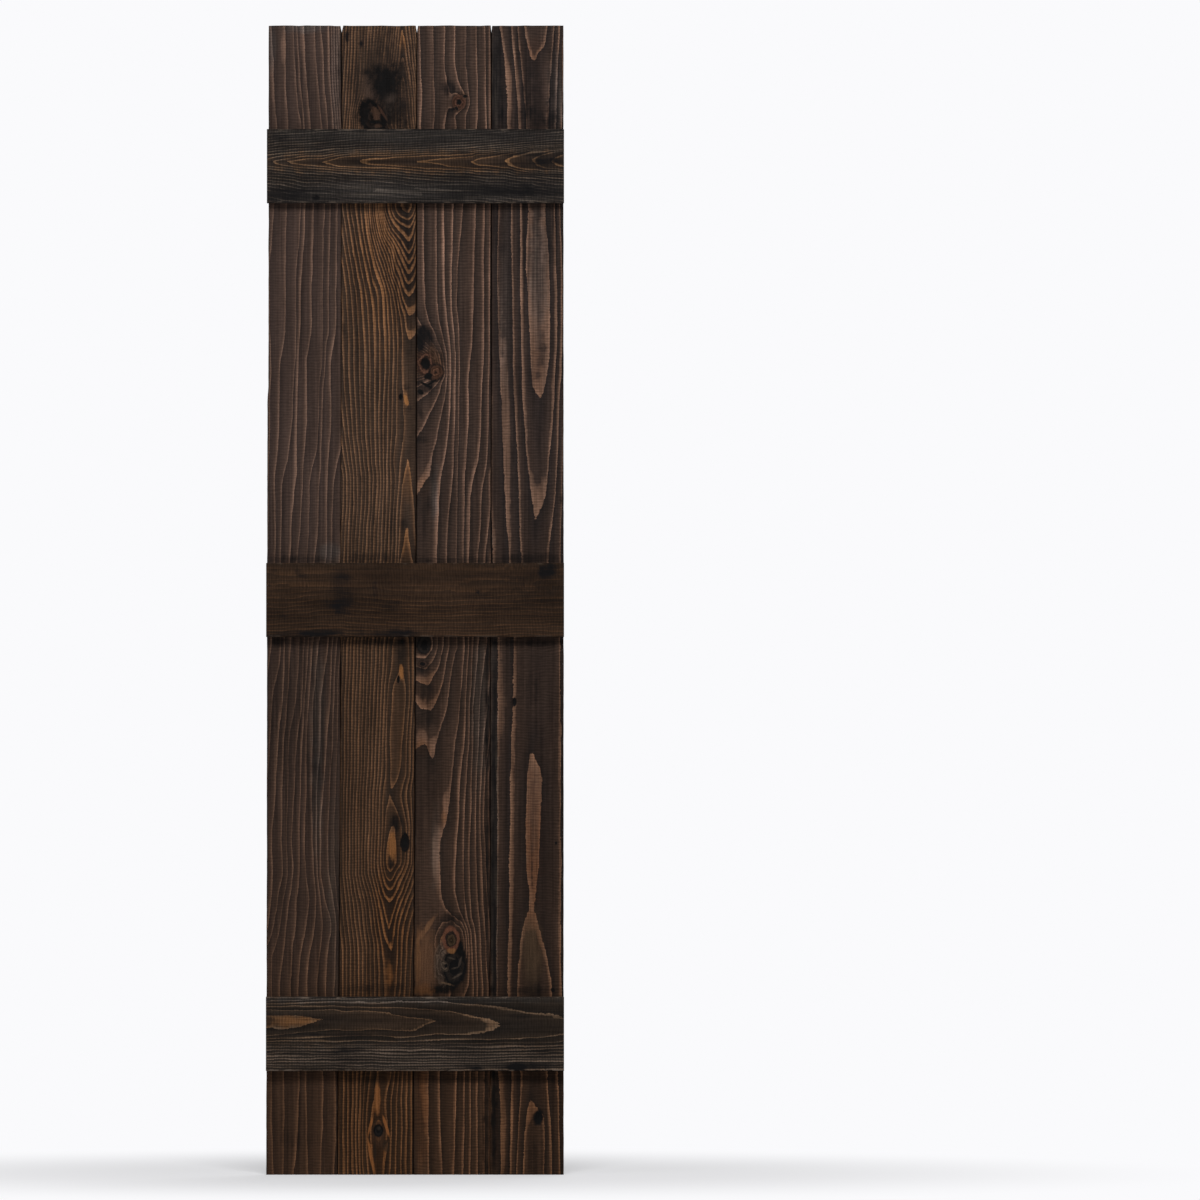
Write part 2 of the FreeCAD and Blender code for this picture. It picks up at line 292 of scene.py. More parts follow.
def look_up(grid, first, low, along, across):
    """The grid's value between its points."""
    u = np.clip(along - first, 0, grid.shape[0] - 1.001)
    v = np.clip((across - low) * 2, 0, grid.shape[1] - 1.001)
    i, j = u.astype(int), v.astype(int)
    s, t = u - i, v - j
    return ((grid[i, j] * (1 - t) + grid[i, j + 1] * t) * (1 - s)
            + (grid[i + 1, j] * (1 - t) + grid[i + 1, j + 1] * t) * s)


# %% [markdown]
# ## The four boards' grain
# Each row is a height in the photograph, in its pixels from the top, and then marks of the form place:ring. The left
# outer board is quarter grain: long lines that sway together, with one sudden sidestep in the middle of each panel.
# The left inner board is slow-grown wood with a stack of arches and many fine lines. The two right-hand boards are
# fast-grown, with few wide rings, and the outermost one has the long flame-shaped patches of a flat-sawn board.

# %% Left outer board: long swaying lines
LEFT_OUTER_LINES = rows_of("""
20 271:0 285:1 293.5:2 297:3 303.5:4 314:5 320:6 329.5:7 332:8 334.5:9 337:10 339.5:11
75 273.5:0 285.5:1 296:2 299.5:3 306.5:4 317.5:5 324:6 330.5:7 333:8 335.5:9 338:10
128 277:0 288:1 301:2 304:3 310:4 322:5 328:6 334:7 336.5:8 339:9
207 274:0 287:1 301:2 305:3 313.8:4 325.3:5 331:6 338.3:7 343:8
240 271.5:0 286:1 299:2 304:3 313:4 323:5 330:6 337.3:7 343:8
270 269.5:0 285.5:1 296.5:2 302:3 312.3:4 323:5 329.5:6 337:7 344:8
330 270.5:0 284.5:1 296:2 300:3 311:4 322.5:5 328:6 335.3:7 344:8
345 271:0 283.3:1 295.8:2 299:3 309:4 322.3:5 326:6 333.5:7 344:8
362 271:0 280.3:1 295:2 298.5:3 306.5:4 321.5:5 325:6 331:7 344:8
385 270.5:0 279.5:1 293.8:2 298:3 306.5:4 319.5:5 323.5:6 331:7 343:8
420 270:0 279.5:1 292.8:2 297.2:3 306.3:4 318.8:5 322.5:6 331:7 342.5:8
447 269.5:0 278:1 290:2 296.8:3 304.8:4 316.8:5 321.5:6 329.3:7 340.8:8
470 269:0 276:1 285.5:2 296.3:3 303:4 312:5 320.5:6 327.5:7 336.5:8
488 268.5:0 275.6:1 282.3:2 294.5:3 302.3:4 309.8:5 319:6 326.8:7 333.6:8 342:9
540 268:0 275.5:1 280.8:2 290.8:3 299:4 308.2:5 317:6 326.8:7 332.4:8 341:9
560 267:0 274.7:1 280.3:2 289.3:3 297.5:4 306.3:5 315:6 326:7 331.5:8 340:9
645 271:1 280.7:2 285:3 290.9:4 299.3:5 304.3:6 308.6:7 312.4:8 318.6:9 327.9:10 332.3:11 336.6:12
700 265:1 272:2 282.5:3 287.5:4 295.6:5 302:6 305:7 309.3:8 314.2:9 321.5:10 330.4:11 334.2:12 338:13
745 269.5:2 278:3 284:4 289:5 297:6 302.4:7 306.8:8 312.4:9 320:10 326.7:11 332.3:12 337.2:13
790 267:2 275.7:3 281.9:4 288.1:5 294.6:6 300.8:7 306.4:8 311.8:9 316.7:10 323.6:11 329.8:12 336:13
840 272:3 281.3:4 286.3:5 291.9:6 299.3:7 304.9:8 312.4:9 316.7:10 320.5:11 327.9:12 334.1:13
870 273.2:3 282.5:4 287.5:5 293.1:6 299.3:7 306.2:8 313.6:9 317.5:10 320.5:11 328.5:12 334.8:13
900 271:3 277.5:4 283:5 289.5:6 297:7 309.9:8 316.1:9 320.5:10 325:11 333.5:12 337.5:13
925 274:4 280:5 286.3:6 295.6:7 306:8 315:9 323:10 331.5:11 336.5:12
960 272:5 282.7:6 291.8:7 300:8 309.3:9 319.2:10 327:11 335:12
990 272:5 280.2:6 290.5:7 298:8 307.6:9 317.5:10 326:11 334:12
1078 272:5 283.6:6 300:7 306.8:8 323.3:9 335.5:10
1120 272:5 284.4:6 298.5:7 306.8:8 322.5:9 335.8:10
1175 273.6:5 283:6 293:7 308.4:8 320.5:9 334:10
""")
print("left outer board:", len(LEFT_OUTER_LINES), "rows of grain")

# %% Left inner board: arches in fine grain
LEFT_INNER_LINES = rows_of("""
20 343:34 352:31 362:28 375:24 387:20 396:16.5 402:14.3 408:15.8 412:17 416:18.6
57 343:33.5 352:30.5 362:27.5 375:23 387:18.5 396:15 403:13 409:14.6 413:16 417:17.6
85 343:33 352:30 362:27 372:23.5 387:17 396:13.8 403:11.7 410:13.5 414:15 417:16.5
128 343:32 352:29 358:27 372:22 390:16 400:12.5 405:11 411:12.5 416:14.5
205 342:21 350:19 354.5:18 360:17 364:16 370:13.5 374:11.5 378:9 381:7 384.5:5 390.7:3 395:2 401:1 408:0.55
    413:1.2 417:2.4
228 341:22 349:20 357.7:18 366:16 371:14 375.5:12 380:9.8 385:7.2 388:6 391.4:5 397:4 404:3.2 408.5:3 412:3.3
    416:4.6
250 344:22 352.5:20 361.5:18 370:16 376:14 381:12.3 386:10.8 391:9.2 394:8 397:7 400.7:6 404:5.2 408.5:4.65
    413:5.2 417:6.4
274 341:23.5 348:22 357:20 366.5:18 375.5:16 383.5:14 389.5:12 394.5:10 398.5:9 403:7.8 408.5:7 412.5:7.4
    417:8.4
296 341:24 351:22 361:20 371:18 381.5:16 389.5:14 396:12 401:10 404:9.3 408.8:9 413:9.3 417:9.9
318 341:24.3 347:23 352.5:22 362.5:20 373:18 383:16 392:14 400:12 404:11 407:10.3 410:10.1 414:10.2 417:10.6
340 342.5:24 348:23 353.5:22 364:20 374:18 384.5:16 393:14 401.5:12.1 405:11.3 409.5:11 414:11.1 417:11.3
380 344:24 349:23 354:22 364.5:20 374.5:18 384:16 392.2:14 396.5:13 402:12 408:11.5 416:11.4
430 343.5:25 352:23 356.5:22 365:20 374:18 382.5:16 391.5:14 396.5:13 404:12 409:11.45 416:11.4
459 343.5:26 355:23 363:21 371:19 379:17 386.5:15 394:13 401:12 405:11.3 408:11 412:11.3 416:11.6
480 343:27 350:25 357:23 365:21 373:19 380:17 387:15 395:13 399:12 402.8:11 407.5:10.7 411.3:11 416:11.6
505 342.5:27 349.5:25 364.5:21 372:19 379:17 386:15 393.5:13 397:12 400.3:11 407:10.35 413.5:11 417:11.5
528 341:27 348:25 363:21 370:19 377.5:17 385:15 392.3:13 396:12 399.3:11 406.5:10 415:11 418:11.5
560 340:27 347:25 361.5:21 369:19 376:17 383.5:15 391:13 395:12 398:11 400:10 406:9.6 412.5:10 416:10.6
645 341:19.5 385:7.6 392.6:6 400:5.35 409.4:6 414.4:7.2 416:7.6
666 341:19.3 384:7.6 391:6 397:5.3 400.7:5 405:5.3 409.5:6 414.5:7.2 416:7.6
692 340:19.4 382:7.6 387.5:6 392:5 399:4.5 406:5 410.3:6 414.5:7.3
740 339:19.5 380:7.6 385.5:6 390:5 396:4.45 402.5:5 407:6 410.6:7 414.4:8.2
771 339:19.5 379:7.6 385:6 390:5 395:4.6 400:5 406.5:6 410.5:7 414.4:8.2
795 338.5:19.5 377:7.6 382:6.2 387:5.2 390:5 395:5.2 401.5:6 408:7.2 413:8.4
830 338:19.5 375:8 382:6 386.5:4.6 393:3.8 399:4.6 407:6 411:7.3 414:8.4
861 338:19.5 372:8.6 380:6 386:4 391.4:3 397:4 404:5.6 409:7 413:8.4
872 338:19.5 371:9 380:6.4 386:4.6 390.3:4 395:4.7 403:6.3 408:7.6 413:9
882 338:19.7 371:9.6 381:6.7 386:5.5 390:5 394:5.5 401:7 407:8.4 413:9.8
891 338:19.8 372:10 382:7.1 386.5:6.3 390:6 393.5:6.3 400:7.5 406:9 413:10.5
902 338:20 373:10.5 381:8.2 386:7.2 389.5:7 393:7.2 399:8.4 405:9.8 413:11.4
930 338:20.5 375:11 381:9.5 385:8.5 389:8 393:8.5 398:9.7 404:11 413:12.8
951 338:21 375:11.7 382:10 387:9.3 391:9 395:9.3 399:10.2 405:11.5 413:13.3
993 338:21 375:11.8 380:10.6 384:10 387:9.6 390.5:9.5 394:9.7 397:10.3 403:11.6 412:13.4
1078 338:19 347.4:17 356.5:15 364.8:13 369.8:12 376.4:11 383:10.5 390.5:11 394.7:12 403:14 412:16
1105 338:19 347.5:17 356:15 363:13 367:12 373:11 379:10.6 386:11 392:12 402:14 412:16
1130 338:19 347:17 355:15 362:13 366:12 370.5:11 378.5:9.6 387.5:11 392:12 402:14 412:16
1150 338:19 347:17 355:15 362:13 366.5:12 371:11 379:10.3 386:11 391:12 401.5:14 412:16
1175 338:19 347:17 356:15 363:13 368:12 373:11 379:10.5 384:11 390:12 402:14 412:16
""")
print("left inner board:", len(LEFT_INNER_LINES), "rows of grain")

# %% Right inner board: wide rings that part round three knots
RIGHT_INNER_LINES = rows_of("""
20 419.5:1 433:2 445:3 455:4 466:5 477:6 484.7:7 490:8
60 421:1 433.5:2 444.5:3 455:4 466:5 477:6 485.7:7 490.5:8
80 421.5:1 434:2 446.5:3 458:4 467.3:5 477.7:6 486:7 490.8:8
92 422:1 434.5:2 450:3 461.5:4 468:5 478:6 486.3:7 490.8:8
102 422:1 434.8:2 450:3 457:3.6 467:5 478:6 486.5:7 490.8:8
114 421.5:1 435:2 446.3:3 455:4 466:5 478:6 486.6:7 490.8:8
128 421:1 434:2 444.5:3 456:4 466:5 477.5:6 487:7 491:8
207 423.5:1 436:2 444:3 453.5:4 463:5 476:6 485:7 490.5:8
240 423.8:1 436.5:2 444:3 452.7:4 460.5:5 475:6 484.5:7 490:8
270 424:1 437:2 444.2:3 451.7:4 458:5 474:6 484:7 490:8
300 424.7:1 437.3:2 445.5:3 451.8:4 457:5 473.5:6 484:7 490:8
320 428.8:1 439:2 447.3:3 453:4 458.3:5 473:6 484:7 490:8
340 437:1 443.7:2 450:3 455:4 459.3:5 472.5:6 484:7 490:8
362 443.5:1 447:2 451:3 455.8:4 459.8:5 470:6 483.7:7 489.5:8
385 417:-1.2 428:-0.6 436:0 441:1 446.5:2 451:3 455.5:4 459.5:5 468.3:6 482.3:7 489:8
402 417:0 426:0.35 435.5:1 444:2 450.4:3 455.4:4 459.4:5 468.5:6 481.7:7 488.8:8
425 417:0.65 424.5:1 432:1.5 439:2 449.3:3 455:4 459:5 468.3:6 480.7:7 488.5:8
440 417:1.05 426:1.4 436:2 447.7:3 454.5:4 458.8:5 467.3:6 479.8:7 488.2:8
460 417:1.4 425:1.65 431.5:2 444.5:3 453.8:4 458.2:5 466:6 478:7 487.3:8
475 417:1.7 424:1.85 430.3:2 441.8:3 453.2:4 458:5 465:6 474.3:7 485:8 490.5:9
488 417:1.93 421:2 430:2.35 440:3 452:4 457.8:5 464.6:6 471.5:7 482.5:8 490.7:9
502 417:2.05 428:2.4 439:3 450.3:4 457.5:5 464.3:6 470.3:7 481.3:8 490.5:9
530 417:2.25 428:2.45 438:3 448:4 457:5 463.8:6 469.5:7 480:8 488:9
560 417:2.35 428:2.5 437.3:3 447:4 456.5:5 463.5:6 469:7 477.7:8 485.5:9 491:10
645 414:0.3 424:0.1 432.5:1 437.5:2 443.1:3 449.3:4 457.4:5 464.8:6 469.2:7 472.9:8 478.5:9 486.6:10 491:10.6
658 414:1.05 424:0.95 430:1.5 434:2 440.5:3 447:4 454.3:5 464:6 468.4:7 472.6:8 477.5:9 485:10 491:10.9
669 414:2.2 425:2 431:2.5 437.5:3 445.3:4 452.3:5 463.2:6 467.5:7 472.2:8 476.5:9 483.5:10 490.5:11
685 414:3.3 428.2:3 434:3.4 442.3:4 449.8:5 462:6 466.6:7 471.6:8 475.2:9 481.2:10 489.3:11
699 414:4 424:3.65 430:3.6 436:3.9 448.2:5 461:6 466.3:7 470.6:8 474.3:9 480.4:10 488.2:11
710 414:4.25 422:4.05 430.6:4 436:4.3 446.8:5 459.9:6 466:7 469.9:8 473.6:9 479.7:10 487.2:11 491:11.6
742 414:4.85 425:4.97 431:4.8 436.2:5 445:5.5 454.9:6 464.8:7 469.3:8 473:9 478.5:10 483.6:11 489.5:12
758 414:5.1 425:5.2 432.5:5 439:5.3 453.6:6 462.5:7 468:8 472.4:9 477.6:10 482.7:11 487.5:12
777 414:5.25 425:5.35 433:5.3 441:5.55 451.8:6 460.5:7 466.7:8 471.7:9 476.6:10 481.6:11 485.3:12
815 414:5.35 428:5.5 440:5.75 447.5:6 458.6:7 464.2:8 471:9 476:10 480.4:11 484:12 489:13
852 414:5.4 428:5.55 439.6:6 456.1:7 463.6:8 469.2:9 476:10 481.6:11 485.3:12 490:13
889 414:5.45 430:5.6 440.8:6 454.9:7 464.2:8 469.8:9 477.3:10 482.9:11 487.2:12
914 414:5.5 430:5.6 448:6 460.5:7 466.7:8 471.7:9 479:10 484:11 489:12
934 414:5.4 430:5.55 445:5.65 461.7:6 467:7 470.6:8 475.5:9 480.5:10 485.4:11 490:12
970 414:5.3 430:5.5 447:5.6 465:6 470.9:7.4 475:8.4 479.2:9.4 484:10.4 489:11.4
991 414:5 428:5.4 451.8:6 458.4:6.6 467:7 474:8 478.3:9 483.3:10 488.6:11
1078 414:4.55 428.6:5 439.4:6 456.8:7 464.2:8 470.9:9 477.5:10 485:11 490:12
1120 414:4.4 421:4.6 428.6:5 440:6 455.5:7 464:8 470.7:9 477.7:10 485:11 490:12
1175 414:4.3 417:4.6 429.4:5 441.9:6 454.3:7 463.4:8 470.4:9 478:10 485:11 490:12
""")
print("right inner board:", len(RIGHT_INNER_LINES), "rows of grain")

# %% Right outer board: broad flames
RIGHT_OUTER_LINES = rows_of("""
20 493:4.6 499:4 511:3 517.5:2 523:1 534:0.55 548.3:1 555.2:2 560.3:3 564:3.7
45 493:4.5 502:4 512.8:3 519.3:2 527.3:1 533.5:0.8 544.5:1 553:2 559:3 564:3.9
61 493:4.4 504:4 514.3:3 520.7:2 528:1.25 533.5:1 540:1.25 551.7:2 558.2:3 564:4
80 493:4.4 506.3:4 516:3 522.5:2 534:1.3 550.5:2 557:3 563.5:4
128 493:4.3 507.5:4 518.8:3 526.5:2 536:1.55 548:2 556:3 561.7:4
207 493:5.5 498.5:5 511.3:4 520:3 528.3:2 537:1.6 545.7:2 555:3 560.3:4 564:4.6
262 493:5.4 496.8:5 511.5:4 520.4:3 525.8:2 537:1.5 549:2 556:3 561.8:4
300 493:5.4 497.5:5 512.4:4 520.8:3 527.8:2 539:1.45 550:2 557:3 562.2:4
345 493:5.5 499:5 513.2:4 521.3:3 530.3:2 540:1.5 549.7:2 556.6:3 562:4
372 493:5.6 500:5 513.6:4 521.8:3 531.2:2 539:1.6 547.3:2 555:3 561.5:4
390 493:5.7 500.8:5 514:4 522.2:3 534.5:2 539.5:1.85 543.7:2 554.5:3 559.5:4
400 493:5.8 501.5:5 514.4:4 522.7:3 532:2.3 540.8:2.03 546:2.3 554:3 559.2:4
450 493:5.8 503.2:5 517.3:4 526.3:3 538:2.4 550:3 557.7:4 563:5
480 493:5.8 504.3:5 518.3:4 529.3:3 538:2.55 547.5:3 556.3:4 562.5:5
500 493:5.8 505.2:5 518.8:4 532:3 537.5:2.8 544.7:3 555:4 562:5
519 493:5.9 506.3:5 519.4:4 530:3.3 535.7:3.02 542:3.25 552.7:4 561:5
560 493:6 509:5 521.3:4 535:3.4 548.5:4 558:4.8 563:5.2
645 492:5.6 497.8:5 508:4.4 513.2:4 525:3.55 540:3.4 553:3.5 560.6:4 564:4.4
702 492:5.6 497.6:5 509:4.4 513.2:4 525:3.55 540:3.4 553:3.5 560.6:4 564:4.4
745 492:5.6 497.4:5 505:4.5 511:4 525:3.5 532:3.05 545:3.4 560.6:4 564:4.4
753 492:5.6 497.4:5 511:4 524:3.4 531.5:3 540:3.3 552:3.6 560.8:4 564:4.4
777 492:5.6 497.3:5 510.5:4 527.6:3 535:2.6 541.9:3 560.8:4 564:4.4
827 492:5.6 497.3:5 510:4 526.1:3 533:2.5 540:3 560.8:4 564:4.4
870 492:5.6 497.3:5 509.5:4 526.6:3 532:2.55 538:3 560.8:4 564:4.4
890 492:5.6 497.2:5 509.3:4 528.9:3 532:2.7 536.2:3 560.8:4 564:4.4
909 492:5.6 497:5 509:4 529:3 531.6:2.9 534.4:3 560.8:4 564:4.4
930 492:5.6 496.7:5 508.6:4 522.8:3 531:2.5 539.8:3 557:3.8 561:4 564:4.4
953 492:5.6 496.4:5 508.2:4 519.8:3 533:2.3 546:3 556:3.7 561:4 564:4.4
993 492:5.6 496:5 507.5:4 517.3:3 535:2.1 552:3 558:3.6 561.5:4 564:4.4
1078 492:5.7 499:5 511.5:4 520.5:3 534:2.35 547.5:3 558:4 562:4.6
1100 492:5.7 500:5 511:4 519.8:3 530.6:2 540:2.4 549:3 558.8:4 562:4.6
1117 492:5.7 500.5:5 511:4 518.8:3 526.3:2 534:1.7 543.2:2 550:3 559:4 563:4.7
1145 492:5.7 501:5 510.5:4 517.5:3 524:2 534:1.5 544.7:2 551.5:3 559.5:4 563:4.7
1175 492:5.7 500.5:5 510:4 516.5:3 522.7:2 534:1.45 544:2 551.8:3 560:4 563:4.7
""")
print("right outer board:", len(RIGHT_OUTER_LINES), "rows of grain")

# %% [markdown]
# ## The three battens' grain
# A batten lies on its side, so its rows run across the photograph: each is a place from the left, with marks down
# the batten. The top batten has a string of nested arches that point left, the middle one is plain with fine level
# lines near its lower edge, and the bottom one has long arches that point right over a band of fine lines.

# %% Grain of the battens
TOP_BATTEN_LINES = rows_of("""
267 130:19.5 145:14.5 155:11 158.5:10 162:9.4 166:10 170:11.3 180:14.7 204:22
291.5 130:19 145:13.7 152:11.2 155:10.1 158.5:9 162:8 166.3:9 170:10.3 180:13.8 204:21
305 130:18.8 145:13.4 152:10.7 155.5:9.3 158:8.2 162:7.6 166:8.2 168.3:9 172:10.3 180:13 204:20.5
322.5 130:18.3 145:13 151:10.6 154.5:9.2 157:8.1 162:7 167:8.2 169.5:9.2 173:10.5 180:12.8 204:20
340 130:18 145:12.3 150:10.3 152.5:9 154.7:8 157:7 162:6.5 166.5:7 168.7:8 171:9 175:10.4 204:19.6
360 130:17.5 145:11.8 150:9.7 152.5:8.6 155:7.4 158:6.5 162:6 166:6.5 168.5:7.4 171:8.5 175:9.9 204:19
390 130:17 145:11.3 150:9.2 153:8 155.3:7 157.7:6 162:5.55 166:6 168.5:7 171:8 176:9.8 204:18.5
414 130:16.5 145:10.8 150:8.8 153:7.5 155.5:6.4 158:5.6 161.7:5 165:5.5 168.4:6.2 171:7.3 176:9 204:18
445 130:16 145:10.3 150:8.2 152.5:7 155:6 158:5 161.5:4.6 166.3:5 169.3:6 172:7 178:9 204:17.4
471.5 130:15.5 145:9.8 150:7.7 153:6.2 156:5 158.5:4.4 161:4 165:4.4 168.5:5 170.7:6 173:7 178:8.6 204:17
477 130:15.3 145:9.6 150:7.3 152.8:5.6 158:4 161:3.8 164.5:4 168.5:4.8 171:5.8 178:8.4 204:16.8
487 130:15 145:9.3 150:6.9 152.5:5.5 156:4 161:3.5 166.3:4 169:5 172:6 178:8 204:16.5
503.5 130:14.5 145:8.8 150:6.2 153.8:4 157:3.4 160.5:3 164.5:3.4 168:4 171:5.3 178:7.8 204:16
508 130:14.3 145:8.6 150:6 153:4.2 157:3 160.5:2.84 164.5:3 168:4 171:5.3 178:7.5 204:15.8
513 130:14.2 145:8.4 150:5.8 152.5:4.1 155:3 160.5:2.66 166.5:3 169:4 172:5.2 178:7.2 204:15.6
522 130:13.8 145:8 150:5.3 151.5:4 153.2:3 160.3:2.34 169:3 170.8:4 173:5 178:6.9 204:15.2
531.5 130:13.5 145:7.6 150:4 151.5:3 155:2.4 159.5:2 164.5:2.4 170.3:3 172:4 178:6.8 204:15
536 130:13.3 145:7.5 150:4.4 151.3:3 156:2 160:1.8 164:2 170.5:3.2 173:4.6 178:6.6 204:14.8
544 130:13 145:7.2 149.5:4 151:3 153.2:2 160:1.42 167.3:2 171.2:3 173:4 178:6.3 204:14.5
552.5 130:12.7 145:7 149.3:3.8 151.8:2 156:1.3 160:1 164:1.3 168.6:2 172.3:3.6 178:6 204:14.2
557 130:12.6 145:6.9 149:3.8 151.2:2 156:1 160:0.82 164:1 169:2 172.5:3.6 178:5.9 204:14.1
566 130:12.2 145:6.6 149:3.4 150.5:2 153.5:1 160:0.5 166.5:1 170:2 173:3.5 178:5.7 204:13.8
""")
MIDDLE_BATTEN_LINES = rows_of("""
266 563:0 590:5 610:9.5 622:13 638:18
338 563:0 590:5.7 610:10.6 622:14.2 638:19.2
352 563:0 590:5.5 610:10.2 622:13.7 638:18.6
430 563:0 590:4.7 610:9.2 622:12.7 638:17.7
566 563:0 590:5 610:9.6 622:13.2 638:18.2
""")
BOTTOM_BATTEN_LINES = rows_of("""
266 996:6.5 1001:5 1006:3 1009:2 1015:1 1021:0.7 1027.5:1 1034.5:2 1038.5:3 1043:4.4 1052:7.5 1071:14
300 996:6.2 1001:4.6 1006.2:3 1009.5:2 1016.5:1 1021:0.85 1026:1 1032:2 1038:3 1043:4.4 1052:7.5 1071:14
317 996:6.1 1001:4.4 1006.4:3 1010.3:2 1017:1.2 1021:1 1025:1.2 1031:2 1037.7:3 1043:4.4 1052:7.5 1071:14
380 996:5.7 1001:4 1007:3 1013:2 1021:1.5 1029.5:2 1037:3 1042:4.2 1052:7.4 1071:14
412 996:5.5 1001:4 1008.5:3 1017.3:2 1022:1.8 1028.8:2 1036.3:3 1041.5:4.2 1052:7.4 1071:14
437.5 996:5.4 1002:4 1011:3 1017:2.3 1021:2 1026:2.3 1035.5:3 1041.3:4.2 1052:7.4 1071:14
470 996:5.3 1004:4 1015.5:3 1024:2.55 1034:3 1040.8:4.2 1052:7.4 1071:14
497 996:5.2 1007:4 1020:3.15 1025:3 1029:3.05 1040.2:4 1045:5.3 1052:7.4 1071:14
530 996:5 1011.5:4 1020:3.5 1027:3.35 1039.5:4 1045:5.4 1052:7.5 1071:14
566 996:4.9 1016:4 1026:3.6 1034.5:4 1041:5 1046:6 1052:7.8 1071:14.3
""")
print("battens:", len(TOP_BATTEN_LINES), len(MIDDLE_BATTEN_LINES), len(BOTTOM_BATTEN_LINES), "rows of grain")
# %% [markdown]
# ## Knots, stains, bright patches and painted shade
# Where a branch grew, the rings close round it, and the stain soaks in black. Other places are bright orange because
# the resin there took little stain, or grey where the saw left the fibres rough. Each of these is a soft oval dab,
# as with a brush: its middle and half sizes in photo pixels, how strong it is and, if it isn't upright, how far it
# leans. They are listed by layer. A dab of rings lowers the ring numbers, so closed rings appear round it, and a dab
# of pit sinks the surface of the wood. A dab of pale widens the light lines until they fill, or fades them where it
# is below zero, ember makes them orange, smudge black and grey weathered, and firm makes them crisp. The black layer
# holds real stain and also painted shade: thin bands just under the battens are painted shadow, those just over
# them painted shade in the corner, and on the middle batten a few bands along its lower edge are painted shade.

# %% Dabs on the boards
LEFT_OUTER_DABS = dict(
    pale=[(302, 72, 42, 62, 0.06), (274, 82, 4, 18, 0.5), (284, 48, 4, 14, 0.5)],
    # smudge (305, 208) just under the top batten is painted shadow, and (300, 559) just over the middle batten
    # painted shade
    smudge_and_shade=[(339, 85, 4, 50, 0.5), (305, 208, 36, 3, 0.4), (300, 559, 34, 4, 0.55), (279, 641, 8, 6, 0.75),
            (300, 720, 36, 90, 0.3), (317, 790, 5, 45, 0.25), (300, 1140, 26, 9, 0.3)],
    grey=[(336, 75, 6, 60, 0.3), (272, 45, 5, 25, 0.5), (306, 28, 22, 5, 0.6), (330, 552, 12, 9, 0.6),
          (318, 720, 7, 70, 0.4), (317, 800, 6, 60, 0.4), (335, 900, 8, 110, 0.35)],
)
LEFT_INNER_DABS = dict(
    rings=[(372, 116, 18, 20, 2),],
    pit=[(372, 116, 12, 14, 1), (400.8, 397, 1.8, 2.5, 0.7), (398.2, 679, 1.5, 3.4, 0.7),
         (404.8, 841, 3.8, 6.4, 0.8, 0.1), (378.5, 1130.5, 4.2, 4.8, 0.9)],
    pale=[(405, 262, 9, 60, 0.12), (378, 82, 20, 46, -0.3), (410, 337, 5, 5, 0.5), (410, 311, 5, 5, 0.4),
          (406, 400, 2.4, 7, 1, -0.25), (401.5, 673, 3, 7, 0.9, -0.1), (392.5, 846, 4, 13, 1),
          (390, 972, 3.6, 20, 0.9), (377, 1110, 3, 8, 0.4)],
    ember=[(403, 40, 4, 11, 0.8), (358, 60, 8, 40, -0.3), (385, 270, 40, 80, 0.7), (406, 400, 2.6, 7, 1, -0.25),
           (408, 480, 5, 22, 0.8), (406, 545, 5, 18, 0.8), (401.5, 673, 3.5, 8, 0.9, -0.1),
           (398, 735, 7, 50, 0.35), (392.5, 845, 4.5, 14, 1), (391, 912, 18, 66, 0.8), (390, 972, 4.5, 20, 0.9),
           (378, 1113, 6, 12, 0.9), (379, 1150, 8, 22, 0.7)],
    # smudge bands at y 209, 642 and 1080 just under the battens are painted shadow, and those at y 557 and 988 just
    # over them painted shade
    smudge_and_shade=[(386, 86, 17, 20, 0.3, 0.2), (372, 118, 14, 15, 0.5), (378, 78, 32, 56, 0.34),
            (350, 100, 10, 40, 0.15), (405, 262, 12, 66, 0.34), (372, 262, 26, 60, 0.14),
            (361, 44, 2.4, 3, 0.8), (347, 30, 5, 10, 0.5), (390, 40, 5, 26, 0.3), (406, 112, 9, 16, 0.35),
            (345, 40, 4, 12, 0.6, 0.2), (378, 209, 38, 4, 0.4), (344, 328, 2.5, 7, 0.7),
            (400.8, 397, 1.9, 2.6, 1), (408, 408, 5, 4, 0.5), (406, 387, 5, 4, 0.45), (405, 524, 4, 7, 0.5),
            (380, 437, 30, 5, 0.25), (372, 557, 34, 5, 0.5), (385, 520, 16, 20, 0.25), (378, 642, 36, 4, 0.6),
            (402, 650, 8, 10, 0.5), (398.2, 679, 1.4, 3.4, 1, 0.2), (397, 822, 9, 8, 0.75, 0.3),
            (404.8, 841, 4.2, 7, 1, 0.1), (391, 866, 5, 4, 0.7), (391, 940, 5, 6, 0.5), (376, 988, 36, 5, 0.5),
            (378.5, 1130.5, 4.6, 5.2, 1), (370, 1143, 2.4, 3, 0.6), (386, 1143, 2.4, 3, 0.6),
            (376, 1080, 36, 4, 0.4)],
    firm=[(378, 255, 45, 75, 0.6), (408, 270, 12, 80, 0.45), (391, 920, 18, 65, 0.75), (376, 1130, 45, 62, 0.4),
          (365, 370, 35, 45, 0.2), (348, 85, 8, 45, 0.3), (404, 60, 9, 40, 0.3)],
)
